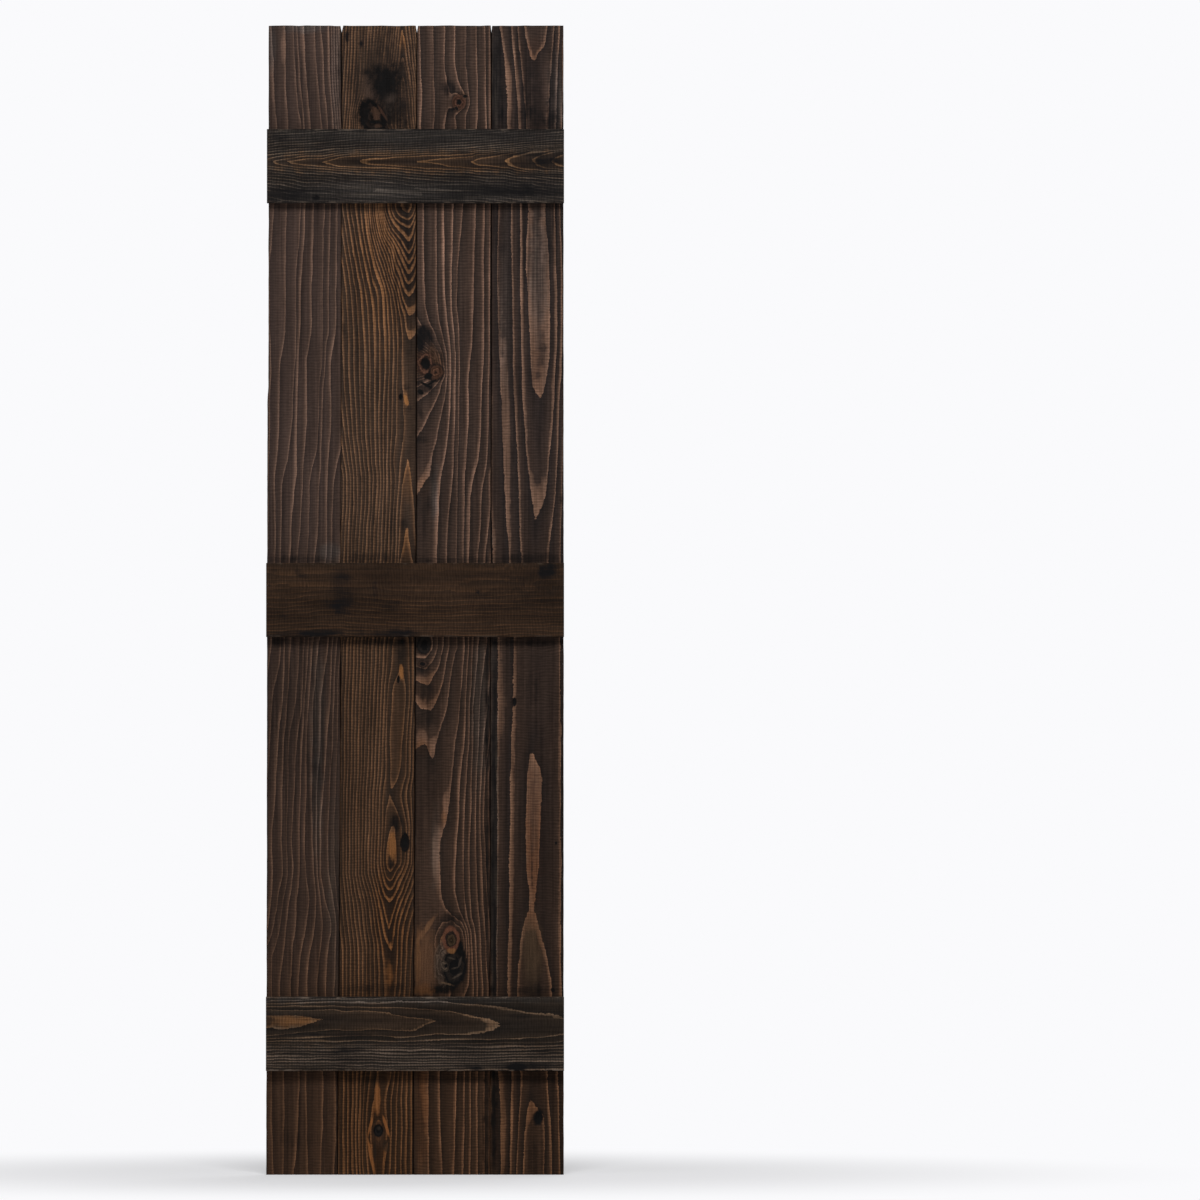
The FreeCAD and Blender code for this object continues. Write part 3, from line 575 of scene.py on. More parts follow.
RIGHT_INNER_DABS = dict(
    rings=[(459.5, 102, 9, 10, 1), (425.5, 363, 12, 14, 1.5), (437, 372.5, 9, 9, 1), (451.5, 942, 16, 22, 2)],
    pit=[(459, 102, 5, 5, 0.4), (424.5, 363.5, 4.4, 5.6, 0.9, 0.2), (456, 967, 8, 13, 0.7, 0.25)],
    pale=[(452, 52, 40, 40, -0.12), (433, 348, 9, 10, -0.35, 0.4), (430, 364, 13, 13, 0.45),
          (424.5, 481, 4.2, 17, 0.9, 0.4), (435, 530, 5, 40, 0.1), (424, 676, 9, 6, 0.4),
          (428, 702, 10, 8, 0.4), (425, 656, 9, 7, 0.35), (421, 740, 8, 16, 0.6), (433, 748, 3.5, 10, 0.7),
          (446, 806, 3.5, 16, 0.6), (435, 850, 5, 40, 0.35), (472, 705, 16, 70, -0.1), (451.5, 938, 8, 8, 0.4),
          (420, 960, 5, 36, 0.3), (424, 1100, 5, 32, 0.5, -0.1), (419, 1160, 4, 25, 0.4)],
    ember=[(459.5, 102, 8, 8, 0.7), (430, 364, 14, 15, 0.75), (423, 488, 6, 13, 0.35), (430, 690, 14, 24, 0.35),
           (421, 748, 8, 9, 0.5), (444, 818, 3, 8, 0.5), (451.5, 939, 9, 10, 1), (420, 955, 6, 40, 0.4),
           (422, 1110, 7, 60, 0.6)],
    # smudge bands (450, 560) and (448, 990) just over the battens are painted shade, and (450, 1080) just under the
    # bottom batten painted shadow
    smudge_and_shade=[(458.6, 101.5, 2.8, 3.2, 0.95), (449, 88, 8.5, 8, 0.8), (450, 113, 5, 5.5, 0.65),
            (455, 108, 4, 3, 0.7), (466, 95, 2, 4, 0.6), (424, 335, 10, 11, 1, 0.2), (419, 346, 5, 10, 0.9),
            (444, 360, 3, 8, 0.6, -0.2), (424.5, 363.5, 4.8, 6, 1, 0.2), (437, 372.5, 1.6, 1.8, 0.8),
            (430.5, 376, 3.4, 5, 0.95, 0.5), (434, 363, 2, 4, 0.7, -0.4), (426, 389, 9, 4, 0.85, -0.45),
            (420, 382, 4, 6, 0.6), (422, 414, 3.5, 9, 0.5, -0.5), (421, 440, 6, 4, 0.6), (429, 503, 4, 9, 0.4),
            (422, 520, 6, 18, 0.25), (450, 560, 40, 3, 0.5), (424, 644, 8, 9, 1), (423, 667, 8, 6, 0.75),
            (427, 691, 11, 8, 0.6), (430, 703, 8, 6, 0.5), (426, 720, 11, 9, 0.5), (488, 810, 3.6, 200, 0.6),
            (486, 690, 3, 60, 0.3), (452, 918, 18, 6, 0.5), (451, 944, 2.6, 3, 0.7),
            (456, 967, 9.5, 16, 1, 0.25), (447, 962, 5, 7, 0.5, 0.4), (447, 986, 12, 6, 0.8, -0.3),
            (448, 990, 22, 5, 0.5), (486, 1125, 4, 60, 0.7), (474, 1125, 4, 55, 0.2), (450, 1080, 36, 4, 0.5)],
    grey=[(434, 495, 4, 26, 0.6), (435, 850, 5, 40, 0.4), (480, 710, 9, 70, 0.5)],
)
RIGHT_OUTER_DABS = dict(
    pit=[(514.2, 702, 2.4, 4, 0.6), (538.4, 1117.5, 4, 6.6, 0.9)],
    pale=[(509, 92, 4, 34, 0.35), (538, 300, 11, 100, 0.62), (507, 430, 4.5, 120, 0.75), (538, 500, 7, 24, 0.6),
          (505, 700, 7, 70, 0.3), (534, 815, 8, 74, 0.6), (510, 850, 4, 130, 0.4), (531, 912, 4, 22, 0.8),
          (540, 938, 3, 14, 0.3, -0.3), (504, 1125, 5, 60, 0.5), (530, 1115, 5, 13, 0.3, 0.25),
          (542, 1109, 1.8, 8, 0.6, -0.35)],
    ember=[(534, 52, 9, 16, 0.4), (538, 370, 6, 30, 0.3), (534, 835, 9, 78, 0.8), (534, 940, 10, 34, 0.45),
           (534, 1112, 10, 13, 0.3)],
    # smudge bands at y 643 and 1080 just under the battens are painted shadow, and those at y 558 and 990 just over
    # them painted shade
    smudge_and_shade=[(496, 78, 7, 60, 0.65), (530, 118, 34, 12, 0.3), (501, 226, 9, 40, 0.45), (552, 232, 8, 46, 0.4),
            (526, 240, 4, 60, 0.35), (526, 80, 6, 55, 0.35), (556, 70, 7, 60, 0.35), (536, 98, 12, 34, 0.42),
            (552, 122, 7, 9, 0.4), (541, 290, 4, 40, 0.3), (533, 262, 1.4, 50, 0.3), (546, 275, 1.3, 60, 0.3),
            (513, 480, 2.4, 60, 0.5), (540, 430, 9, 30, 0.25), (530, 558, 34, 5, 0.6), (530, 643, 34, 4, 0.6),
            (561, 500, 2, 6, 0.7), (494, 850, 3.4, 225, 0.75), (514.2, 702, 2.6, 4.4, 1),
            (530, 690, 10, 20, 0.35), (530.5, 815, 1.1, 44, 0.42, 0.02), (537, 840, 1.1, 50, 0.42, -0.02),
            (534, 800, 0.9, 40, 0.36), (562, 830, 3, 90, 0.4), (556, 843, 1, 1.6, 1), (553, 990, 2, 3, 1),
            (530, 990, 34, 4, 0.5), (494, 1125, 3, 60, 0.8), (538.4, 1117.5, 4.4, 7.2, 1),
            (530, 1080, 36, 4, 0.5), (534, 1155, 7, 18, 0.3)],
    grey=[(495, 78, 6, 60, 0.7), (556, 95, 8, 35, 0.5), (538, 270, 9, 60, 0.4), (505, 300, 6, 90, 0.3),
          (494, 850, 4, 220, 0.8), (534, 800, 6, 50, 0.2)],
)
print("dabs on the boards:", [sum(map(len, dabs.values())) for dabs in (
    LEFT_OUTER_DABS, LEFT_INNER_DABS, RIGHT_INNER_DABS, RIGHT_OUTER_DABS)])

# %% Dabs on the battens
TOP_BATTEN_DABS = dict(
    pit=[(315.5, 198, 3.4, 1.7, 0.8),],
    pale=[(415, 135, 175, 12, -0.25), (415, 193, 175, 12, -0.3)],
    ember=[(430, 162, 165, 10, 0.95),],
    smudge_and_shade=[(280, 138, 12, 5, 0.4), (285, 196, 24, 8, 0.4), (360, 196, 24, 6, 0.3), (558, 160, 8, 5, 0.6),
            (512, 170, 62, 30, 0.28), (541, 160, 7, 6, 0.4), (300, 134, 45, 5, 0.25), (300, 195, 45, 9, 0.36),
            (530, 191, 50, 6, 0.25), (380, 131.5, 24, 1.4, 0.7), (315.5, 198, 3.6, 1.8, 1),
            (545, 162, 24, 8, 0.2), (440, 199, 40, 5, 0.35), (530, 137, 45, 7, 0.15), (520, 190, 55, 12, 0.25)],
    grey=[(415, 135, 170, 9, 0.55), (415, 193, 170, 12, 0.6)],
)
MIDDLE_BATTEN_DABS = dict(
    pale=[(415, 576, 190, 26, -0.38),],
    ember=[(300, 590, 34, 16, 0.2), (390, 610, 40, 18, 0.2), (480, 605, 70, 22, 0.12)],
    # the smudge bands at y 633 and 634, along the lower edge, are painted shade on the edge that faces down
    smudge_and_shade=[(341, 586, 12, 30, 0.5), (340, 606, 14, 7, 0.5), (300, 573, 7, 4, 0.6, 0.4),
            (546, 571, 9, 9, 0.95, -0.5), (375, 590, 3, 12, 0.4), (512, 590, 52, 30, 0.26),
            (392, 606, 12, 5, 0.4), (552, 590, 8, 4, 0.3), (478, 592, 2.6, 2.4, 0.9, 0.6),
            (396, 633, 26, 5, 0.85), (322, 633, 20, 4, 0.8), (283, 616, 5, 3, 0.5, 0.5), (350, 633, 24, 4, 0.4),
            (290, 634, 30, 4, 0.35)],
)
BOTTOM_BATTEN_DABS = dict(
    pale=[(285, 1021, 28, 5, 0.35), (415, 1057, 190, 14, 0.06), (486, 1024, 8, 6, 0.15), (318, 1041, 9, 3, 0.5),
          (300, 1052, 30, 7, -0.2), (455, 1052, 30, 8, -0.15)],
    ember=[(285, 1021, 34, 6, 0.9), (400, 1021, 90, 14, 0.35)],
    smudge_and_shade=[(483, 1026, 7, 1.2, 0.35), (345, 1036, 40, 2.6, 0.45), (340, 1055, 20, 12, 0.35),
            (520, 1066, 24, 5, 0.6), (470, 1066, 14, 3, 0.5), (520, 1016, 12, 4, 0.5),
            (545, 1058, 18, 12, 0.35), (449, 1071, 5, 1.6, 0.8), (476, 1070, 7, 3, 0.7),
            (517, 1068, 10, 4, 0.7), (538, 1071, 6, 1.4, 0.8), (352, 1050, 26, 3, 0.4),
            (300, 1034, 26, 2, 0.5)],
    grey=[(415, 1058, 180, 17, 0.45), (415, 999, 170, 5, 0.8)],
)
print("dabs on the battens:", [sum(map(len, dabs.values())) for dabs in (
    TOP_BATTEN_DABS, MIDDLE_BATTEN_DABS, BOTTOM_BATTEN_DABS)])


# %% Paint one layer of dabs
SOFT_RIM, CRISP_RIM = 2.4, 4
RAGGED_COARSE, RAGGED_FINE = 0.22, 0.12
RINGS_RAGGED = 0.3


def dabs_of(layer, dabs, px, py, seed):
    """The layer's strength at each point: soft ovals whose rims are uneven, as a stain soaks in."""
    total = np.zeros_like(px)
    wild = RINGS_RAGGED if layer == "rings" else 1.0
    rim = SOFT_RIM if layer == "pale" else CRISP_RIM
    coarse, fine = drift(py, px, 7, 5, seed), drift(py, px, 2.6, 2.2, seed + 1)
    ragged = 1 + wild * (RAGGED_COARSE * coarse + RAGGED_FINE * fine)
    for x, y, half_wide, half_high, strength, *leaning in dabs.get(layer, ()):
        lean = sum(leaning)
        level, upright = px - x, py - y
        right = level * math.cos(lean) + upright * math.sin(lean)
        down = upright * math.cos(lean) - level * math.sin(lean)
        reach = np.hypot(right / half_wide, down / half_high) * ragged
        total += strength * np.exp(-reach ** rim)
    return total

# %% [markdown]
# ## A plank's shape
# A real board is never a plain block: its sawn edges waver, its corners are worn round and chipped, the grain stands
# a hair proud of the softer wood, and knots sink below the face. A block with a bevel and a bump map would keep
# straight edges, so the mesh is woven directly. Two sheets of points, the front and the back, are bent to shape,
# and strips of faces join their rims into one closed skin.

# %% Weave two sheets into one closed skin
SIDE_PARTS = (0.12, 0.3, 0.55, 0.8)
TOUCH_PART = 0.3


def closed_skin(front, back, mirrored):
    """Points and faces of a solid between two sheets of the same size, each rows x columns x 3."""
    rows, columns = front.shape[:2]
    sheet = np.arange(rows * columns).reshape(rows, columns)
    rim = np.concatenate([sheet[0, :-1], sheet[:-1, -1], sheet[-1, :0:-1], sheet[:0:-1, 0]])
    flat_front, flat_back = front.reshape(-1, 3), back.reshape(-1, 3)
    points, loops = [flat_front, flat_back], [rim]
    for number, part in enumerate(SIDE_PARTS):
        loops.append(2 * rows * columns + number * len(rim) + np.arange(len(rim)))
        loop = flat_front[rim] * (1 - part) + flat_back[rim] * part
        sideways = min(1, part / TOUCH_PART)
        loop[:, 0] = flat_front[rim, 0] * (1 - sideways) + flat_back[rim, 0] * sideways
        points.append(loop)
    loops.append(rim + rows * columns)
    a, b, c, d = sheet[:-1, :-1], sheet[:-1, 1:], sheet[1:, 1:], sheet[1:, :-1]
    faces = [np.stack([v.ravel() for v in (a, b, c, d)], 1)]
    faces.append(np.stack([v.ravel() for v in (a, d, c, b)], 1) + rows * columns)
    for near, far in zip(loops, loops[1:]):
        faces.append(np.stack([near, far, np.roll(far, -1), np.roll(near, -1)], 1))
    faces = np.concatenate(faces)
    return np.concatenate(points), faces[:, ::-1] if mirrored else faces


def spaced(start, end, pitch, rim):
    """Places from start to end at an even pitch, with extra ones at both ends for the rounded corners."""
    inner = np.linspace(start + rim[-1], end - rim[-1], max(2, round((end - start) / pitch)))
    return np.concatenate([start + np.array(rim[:-1]), inner, end - np.array(rim[-2::-1])])


# %% [markdown]
# ## Edges
# In the photograph the cracks between the boards lean a little, the shutter's left edge steps, and each crack ends
# at the top in a small notch where the corners were sanded off. The cracks are tight in places and open in others.
# The corners of the battens are chipped, most along the lower edge of the bottom one.

# %% Edges of the boards
CRACKS = [
    [(20, 341.8), (200, 341.5), (560, 340.7), (740, 340.5), (850, 339.7), (990, 338.9), (1180, 337.3)],
    [(20, 416.8), (200, 416.5), (560, 416.1), (650, 415.5), (820, 414.8), (980, 413.8), (1180, 413.3)],
    [(20, 491.4), (300, 491.3), (560, 491.2), (650, 490.4), (900, 490.3), (1180, 490.0)],
]
LEFT_RIM = [(20, 268.7), (385, 268.3), (402, 267.4), (560, 267.2), (650, 267.0), (900, 266.7), (1180, 266.1)]
RIGHT_RIM = [(20, 563.4), (400, 563.6), (1180, 563.7)]
NOTCH_HALVES = [0.0016, 0.0013, 0.0008]
NOTCH_DEEP, NOTCH_CURVE = 0.0072, 0.8
MILLIMETRE = 0.001
OPEN_FALL = 4
CRACK_HALF = 0.00004
TOUCH_GAP = 0.000006
SAW_WAVER, SAW_SHAKE = 0.00022, 0.0001
ARRIS = 0.0016
RIM_STEPS = (0.0, 0.00035, 0.0009, 0.0016)
# height and half height in photo pixels, and half the opening in mm
OPEN_PLACES = [
    [(695, 42, 0.40), (1005, 172, 0.42), (525, 7, 0.45), (75, 55, 0.45)],
    [(600, 640, 0.45), (330, 120, 0.08)],
    [(300, 270, 0.45), (80, 60, 0.2), (900, 300, 0.3)],
]


def board_edges(number, z, open_share):
    """The left and right edge of one board at each height, in metres, with its cracks opened by a share."""
    _, py = in_photo(0, z, board_front)
    lines = [LEFT_RIM] + CRACKS + [RIGHT_RIM]
    edges = []
    for side in (0, 1):
        line = lines[number + side]
        inward = 1 if side == 0 else -1
        edge = from_photo(smooth_through(*zip(*line), py), 0, board_front)[0]
        slow = drift(py, 0 * py, 23, 1, 40 + number + side)
        quick = drift(py, 0 * py, 6, 1, 50 + number + side)
        edge = edge + (SAW_WAVER * slow + SAW_SHAKE * quick)
        crack = number + side - 1
        if 0 <= crack < len(CRACKS):
            room = CRACK_HALF + sum(MILLIMETRE * half * np.exp(-((py - y) / high) ** OPEN_FALL)
                                    for y, high, half in OPEN_PLACES[crack])
            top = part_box(BOARDS[number])[1][2]
            notch = NOTCH_HALVES[crack] * np.clip(1 - (top - z) / NOTCH_DEEP, 0, 1) ** NOTCH_CURVE
            edge = edge + inward * (TOUCH_GAP + room * open_share + notch)
        edges.append(edge)
    return edges


print("crack lean, mm:", [round((line[-1][1] - line[0][1]) * 1000 / PHOTO_SCALE, 1) for line in CRACKS])

# %% [markdown]
# ## What each point of a plank carries
# Besides its place, every point of a plank keeps the numbers that its finish needs: the ring number, the pace (how
# many rings there are to a millimetre), how pale, orange, black, grey and crisp the wood is there, and how near it
# is to a worn corner. The black is stain, and in thin bands beside the battens painted shadow and painted shade. The
# side walls and ends count as fully worn, so they are painted dark: stain soaked into the edges, and painted shade in
# the cracks between the boards. They are stored on the mesh as named values, so the finish can read them wherever
# the point is, on the front, the edge grain or the back. Deeper in the wood the rings shift sideways, as they do in a
# log, which makes end grain show slanting lines.

# %% Work out a plank's figure
PLANKS = {
    "left_outer_board": dict(rows=LEFT_OUTER_LINES, dabs=LEFT_OUTER_DABS, slant=150, sway=0.10),
    "left_inner_board": dict(rows=LEFT_INNER_LINES, dabs=LEFT_INNER_DABS, slant=260, sway=0.10),
    "right_inner_board": dict(rows=RIGHT_INNER_LINES, dabs=RIGHT_INNER_DABS, slant=-170, sway=0.07),
    "right_outer_board": dict(rows=RIGHT_OUTER_LINES, dabs=RIGHT_OUTER_DABS, slant=120, sway=0.05),
    "top_batten": dict(rows=TOP_BATTEN_LINES, dabs=TOP_BATTEN_DABS, slant=240, sway=0.22),
    "middle_batten": dict(rows=MIDDLE_BATTEN_LINES, dabs=MIDDLE_BATTEN_DABS, slant=220, sway=0.35),
    "bottom_batten": dict(rows=BOTTOM_BATTEN_LINES, dabs=BOTTOM_BATTEN_DABS, slant=190, sway=0.26),
}
LAYERS = ("pale", "ember", "smudge_and_shade", "grey", "firm")
SLOWEST = 0.008
LONG_SWAY, SHORT_SWAY, SHORT_SHARE = (38, 8), (13, 3.5), 0.6
SWAY_BY_PACE, LEAST_SWAY = 6, 0.1
SOAK_DEEP = 0.012
SAWN_DEEP = 0.003
MAP_MARGIN = 6
LYING_SPAN, UPRIGHT_SPAN = (255, 575), (15, 1185)
for number, plank in enumerate(PLANKS.values()):
    lying = number >= len(BOARDS)
    plank["lying"] = lying
    plank["seed"] = 100 * (number + 1)
    places = [place for _, marks in plank["rows"] for place, _ in marks]
    plank["low"] = math.floor(min(places)) - MAP_MARGIN
    plank["first"], last = LYING_SPAN if lying else UPRIGHT_SPAN
    plank["grid"] = ring_map(plank["rows"], plank["first"], last, plank["low"], max(places) + MAP_MARGIN)


def figure_at(plank, px, py, deep):
    """Ring number, rings a millimetre and layers at points given in photo pixels and metres behind the front."""
    seed = plank["seed"]

    def mapped(x, y):
        along, across = (x, y) if plank["lying"] else (y, x)
        drawn = look_up(plank["grid"], plank["first"], plank["low"], along, across)
        return drawn - dabs_of("rings", plank["dabs"], x, y, seed + 2)

    pace = np.hypot(mapped(px + 1, py) - mapped(px - 1, py),
                    mapped(px, py + 1) - mapped(px, py - 1)) / 2
    pace = np.maximum(pace, SLOWEST)
    along, across = (px, py) if plank["lying"] else (py, px)
    waver = drift(along, across, *LONG_SWAY, seed) + SHORT_SHARE * drift(along, across, *SHORT_SWAY, seed + 1)
    rings = mapped(px, py) + plank["sway"] * np.clip(SWAY_BY_PACE * pace, LEAST_SWAY, 1) * waver
    rings = rings + plank["slant"] * np.maximum(deep - SAWN_DEEP, 0)
    sinking = np.exp(-deep / SOAK_DEEP)
    layers = {name: np.clip(dabs_of(name, plank["dabs"], px, py, seed + 5 + 3 * n), -1, 1) * sinking
              for n, name in enumerate(LAYERS)}
    return dict(rings=rings, pace=pace * PHOTO_SCALE / 1000, **layers)


print("ring maps:", {name: plank["grid"].shape for name, plank in PLANKS.items()})

# %% [markdown]
# ## Screw holes in the backs
# The battens are held from behind: two countersunk screws at each crossing go through the board into the batten.
# Their heads sit just below the back in round sinks. Cutting those with booleans would leave ragged faces, so the
# back sheet's own grid is bent: the square rings of points round each screw are pulled onto circles, and the inner
# circles are pushed in.

# %% Bend the grid round a screw
# which square ring of points, its radius on the circle, and how far it is pushed in
SINK_CIRCLES = ((1, 0.0016, 0.0030), (2, 0.00425, 0.0006), (3, 0.00455, 0.0), (4, 0.0062, 0.0))


def sink_screws(sheet, screws):
    """Pulls square rings of the sheet onto circles round each screw, and pushes the inner ones into the wood."""
    for x, z in screws:
        row = int(np.argmin(abs(sheet[:, 0, 2] - z)))
        column = int(np.argmin(abs(sheet[row, :, 0] - x)))
        sheet[row, column, 0], sheet[row, column, 2] = x, z
        sheet[row, column, 1] -= SINK_CIRCLES[0][2]
        for ring, radius, sunk in SINK_CIRCLES:
            side = list(range(-ring, ring))
            square = ([(i, -ring) for i in side] + [(ring, i) for i in side]
                      + [(-i, ring) for i in side] + [(-ring, -i) for i in side])
            for number, (right, up) in enumerate(square):
                turn = 2 * math.pi * number / len(square) - 3 * math.pi / 4
                point = sheet[row + up, column + right]
                point[0], point[2] = x + radius * math.cos(turn), z + radius * math.sin(turn)
                point[1] -= sunk


def screws_behind(low, high):
    """Middles of the screws whose heads are in this board's back."""
    middles = []
    for node in SCREWS:
        least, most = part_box(node)
        x, z = (least[0] + most[0]) / 2, (least[2] + most[2]) / 2
        if low < x < high:
            middles.append((x, z))
    return middles


# %% [markdown]
# ## Boards and battens
# Boards stand and battens lie, so each kind has its own function, but both go the same way: a grid of points over
# the face, denser at the worn corners, sawn edges that waver, and at each point a drop for the raised grain, the
# pits and the rounded corners. The backs are plainer, because they face the wall.

# %% Shape a board and a batten
BOARD_PITCH = (0.0024, 0.0017)
BATTEN_PITCH = (0.0021, 0.0017)
BACK_ARRIS = 0.0007
GRAIN_PROUD = 0.0001
PIT_DEEP = 0.0022
LEFT_SHORT = (0.0014, 0.0005, 0.0002)
END_STEPS = (0.0, 0.0003, 0.0008, 0.0015)
BOARD_WIDE, BATTEN_WIDE = 0.0886, 0.0889
BOARD_END_ARRIS, BATTEN_END_ARRIS = 0.0008, 0.0009
DEEPEST = 0.006
HOLLOW = 0.00018
BATTEN_WAVER, BATTEN_SHAKE = 0.00025, 0.0001
CHIP_FROM, CHIP_DEEP = 0.45, 2.4
WEAR_SLOW, WEAR_QUICK, BATTEN_WEAR = 0.35, 0.25, 0.3
TOP_REACH, TOP_LOW, TOP_RIPPLE = 0.02, 0.0005, 0.0004


def round_over(from_edge, radius):
    """How far a rounded corner has dropped at each distance from the edge."""
    inside = np.clip(1 - from_edge / radius, 0, 1)
    return radius * (1 - np.sqrt(1 - inside ** 2))


def raised_grain(plank, px, py):
    """Hard late wood stands proud of the soft wood between, and knots lie lower."""
    figure = figure_at(plank, px, py, np.zeros_like(px))
    line = (figure["rings"] % 1) ** 2
    pit = np.clip(dabs_of("pit", plank["dabs"], px, py, plank["seed"] + 30), 0, 1)
    hollow = HOLLOW * (1 + drift(py, px, 60, 40, plank["seed"] + 31))
    return GRAIN_PROUD * (1 - line) + hollow + PIT_DEEP * pit


def board_sheets(number, name):
    plank = PLANKS[name]
    (_, front_y, low), (_, back_y, high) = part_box(name)
    z = spaced(low, high, BOARD_PITCH[0], END_STEPS)
    left, right = board_edges(number, z, 1.0)
    back_left, back_right = board_edges(number, z, 0.0)
    share = spaced(0.0, BOARD_WIDE, BOARD_PITCH[1], RIM_STEPS) / BOARD_WIDE
    x = left[:, None] * (1 - share) + right[:, None] * share
    upright = np.repeat(z[:, None], len(share), 1)
    ripple = TOP_RIPPLE * drift(x * 1000, x * 0, 9, 1, 80 + number)
    near_top = np.clip(1 - (high - upright) / TOP_REACH, 0, 1)
    upright = upright - near_top * (TOP_LOW + ripple)
    from_side = np.minimum(x - left[:, None], right[:, None] - x)
    from_end = np.minimum(upright - upright[:1], upright[-1:] - upright)
    px, py = in_photo(x, upright, front_y)
    slow, quick = drift(py, px, 31, 200, 90 + number), drift(py, px, 8, 200, 95 + number)
    worn = ARRIS * (1 + WEAR_SLOW * slow + WEAR_QUICK * quick)
    drop = raised_grain(plank, px, py) + round_over(from_side, worn) + round_over(from_end, BOARD_END_ARRIS)
    front = np.stack([x, front_y + np.clip(drop, 0, DEEPEST), upright], -1)
    back_drop = round_over(from_side, BACK_ARRIS) + round_over(from_end, BACK_ARRIS)
    back_x = back_left[:, None] * (1 - share) + back_right[:, None] * share
    back = np.stack([back_x, back_y - back_drop, upright], -1)
    return front, back


def sawn_back(x, seed):
    """How far a batten's sawn edge stands back at each place along it."""
    slow, quick = drift(x * 1000, 0 * x, 60, 1, seed), drift(x * 1000, 0 * x, 7, 1, seed + 3)
    return BATTEN_WAVER * (1 + slow) + BATTEN_SHAKE * (1 + quick)


def batten_sheets(number, name):
    plank = PLANKS[name]
    (low, front_y, foot), (high, back_y, head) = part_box(name)
    low = low + LEFT_SHORT[number]
    x = spaced(low, high, BATTEN_PITCH[0], END_STEPS)
    share = spaced(0.0, BATTEN_WIDE, BATTEN_PITCH[1], RIM_STEPS) / BATTEN_WIDE
    lower = foot + sawn_back(x, 120 + number)
    upper = head - sawn_back(x, 126 + number)
    z = lower[:, None] * (1 - share) + upper[:, None] * share
    level = np.repeat(x[:, None], len(share), 1)
    from_side = np.minimum(z - lower[:, None], upper[:, None] - z)
    from_end = np.minimum(level - low, high - level)
    px, py = in_photo(level, z, front_y)
    chips = np.clip(drift(px, py, 9, 60, 140 + number) - CHIP_FROM, 0, 1) * CHIP_DEEP
    worn = ARRIS * (1 + BATTEN_WEAR * drift(px, py, 40, 60, 150 + number) + chips)
    drop = raised_grain(plank, px, py) + round_over(from_side, worn) + round_over(from_end, BATTEN_END_ARRIS)
    front = np.stack([level, front_y + np.clip(drop, 0, DEEPEST), z], -1)
    back = np.stack([level, back_y - round_over(from_side, BACK_ARRIS), z], -1)
    return front, back


# %% [markdown]
# ## The seven planks
# Each pair of sheets becomes one closed mesh that takes its solid's place in the frame. Shading is smooth over the
# face and breaks only where the corner is sharp, as on sawn wood, and no modifier is needed.

# %% Build the seven planks
CORNER_SHARP = math.radians(38)
WORN_WIDE = 0.0034


def make_plank(name, front, back):
    plank = PLANKS[name]
    points, faces = closed_skin(front, back, plank["lying"])
    mesh = bpy.data.meshes.new(name + "_wood")
    mesh.from_pydata(points.tolist(), [], faces.tolist())
    front_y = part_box(name)[0][1]
    px, py = in_photo(points[:, 0], points[:, 2], front_y)
    layers = figure_at(plank, px, py, np.maximum(points[:, 1] - front_y, 0))
    from_rim = [np.linalg.norm(front - front[:, side], axis=2) for side in (slice(0, 1), slice(-1, None))]
    rim = np.clip(1 - np.minimum(*from_rim) / WORN_WIDE, 0, 1)
    # side walls and ends count as fully worn, so they are painted dark: stain soaked into the edges, and painted
    # shade in the cracks between boards
    layers["edge_wear_and_shade"] = np.ones(len(points))
    layers["edge_wear_and_shade"][:rim.size] = rim.ravel()
    layers["edge_wear_and_shade"][rim.size:2 * rim.size] = 0
    for layer, values in layers.items():
        mesh.attributes.new(layer, "FLOAT", "POINT").data.foreach_set("value", values.astype(np.float32))
    mesh.shade_smooth()
    mesh.set_sharp_from_angle(angle=CORNER_SHARP)
    piece = bpy.data.objects.new(name + "_wood", mesh)
    bpy.context.collection.objects.link(piece)
    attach(piece, "root")
    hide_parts(name)
    return piece


pieces = {}
for number, name in enumerate(BOARDS):
    front, back = board_sheets(number, name)
    least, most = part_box(name)
    sink_screws(back, screws_behind(least[0], most[0]))
    pieces[name] = make_plank(name, front, back)
for number, name in enumerate(BATTENS):
    pieces[name] = make_plank(name, *batten_sheets(number, name))
print("triangles:", {name: 2 * len(piece.data.polygons) for name, piece in pieces.items()})

# %% [markdown]
# ## The finish, as building blocks
# Every plank has the same kinds of detail: growth lines, long fibres, the fine ripples of the saw blade, blotches of
# stain. Writing them again for each plank would make seven tangled materials, so each effect is a node group with
# named inputs, built once. A plank's own material places the groups and sets their values.

# %% A node group with named sockets
NOISE_ROUGH = 0.55


def new_group(name, inputs, outputs):
    """An empty shader group, with its input sockets by name."""
    tree = bpy.data.node_groups.new(name, "ShaderNodeTree")
    kinds = {"float": "NodeSocketFloat", "colour": "NodeSocketColor", "vector": "NodeSocketVector"}
    for socket, (kind, value) in inputs.items():
        made = tree.interface.new_socket(socket, in_out="INPUT", socket_type=kinds[kind])
        if value is not None:
            made.default_value = value
    for socket, kind in outputs.items():
        tree.interface.new_socket(socket, in_out="OUTPUT", socket_type=kinds[kind])
    return tree, step(tree, "NodeGroupInput").outputs, step(tree, "NodeGroupOutput").inputs


def feed_named(tree, node, values):
    """Feeds a node's inputs by name."""
    for socket, value in values.items():
        feed(tree, value, node.inputs[socket])
    return node.outputs


def use_group(tree, group, **values):
    """Places a group, and feeds its inputs by name."""
    return feed_named(tree, step(tree, "ShaderNodeGroup", node_tree=group), values)


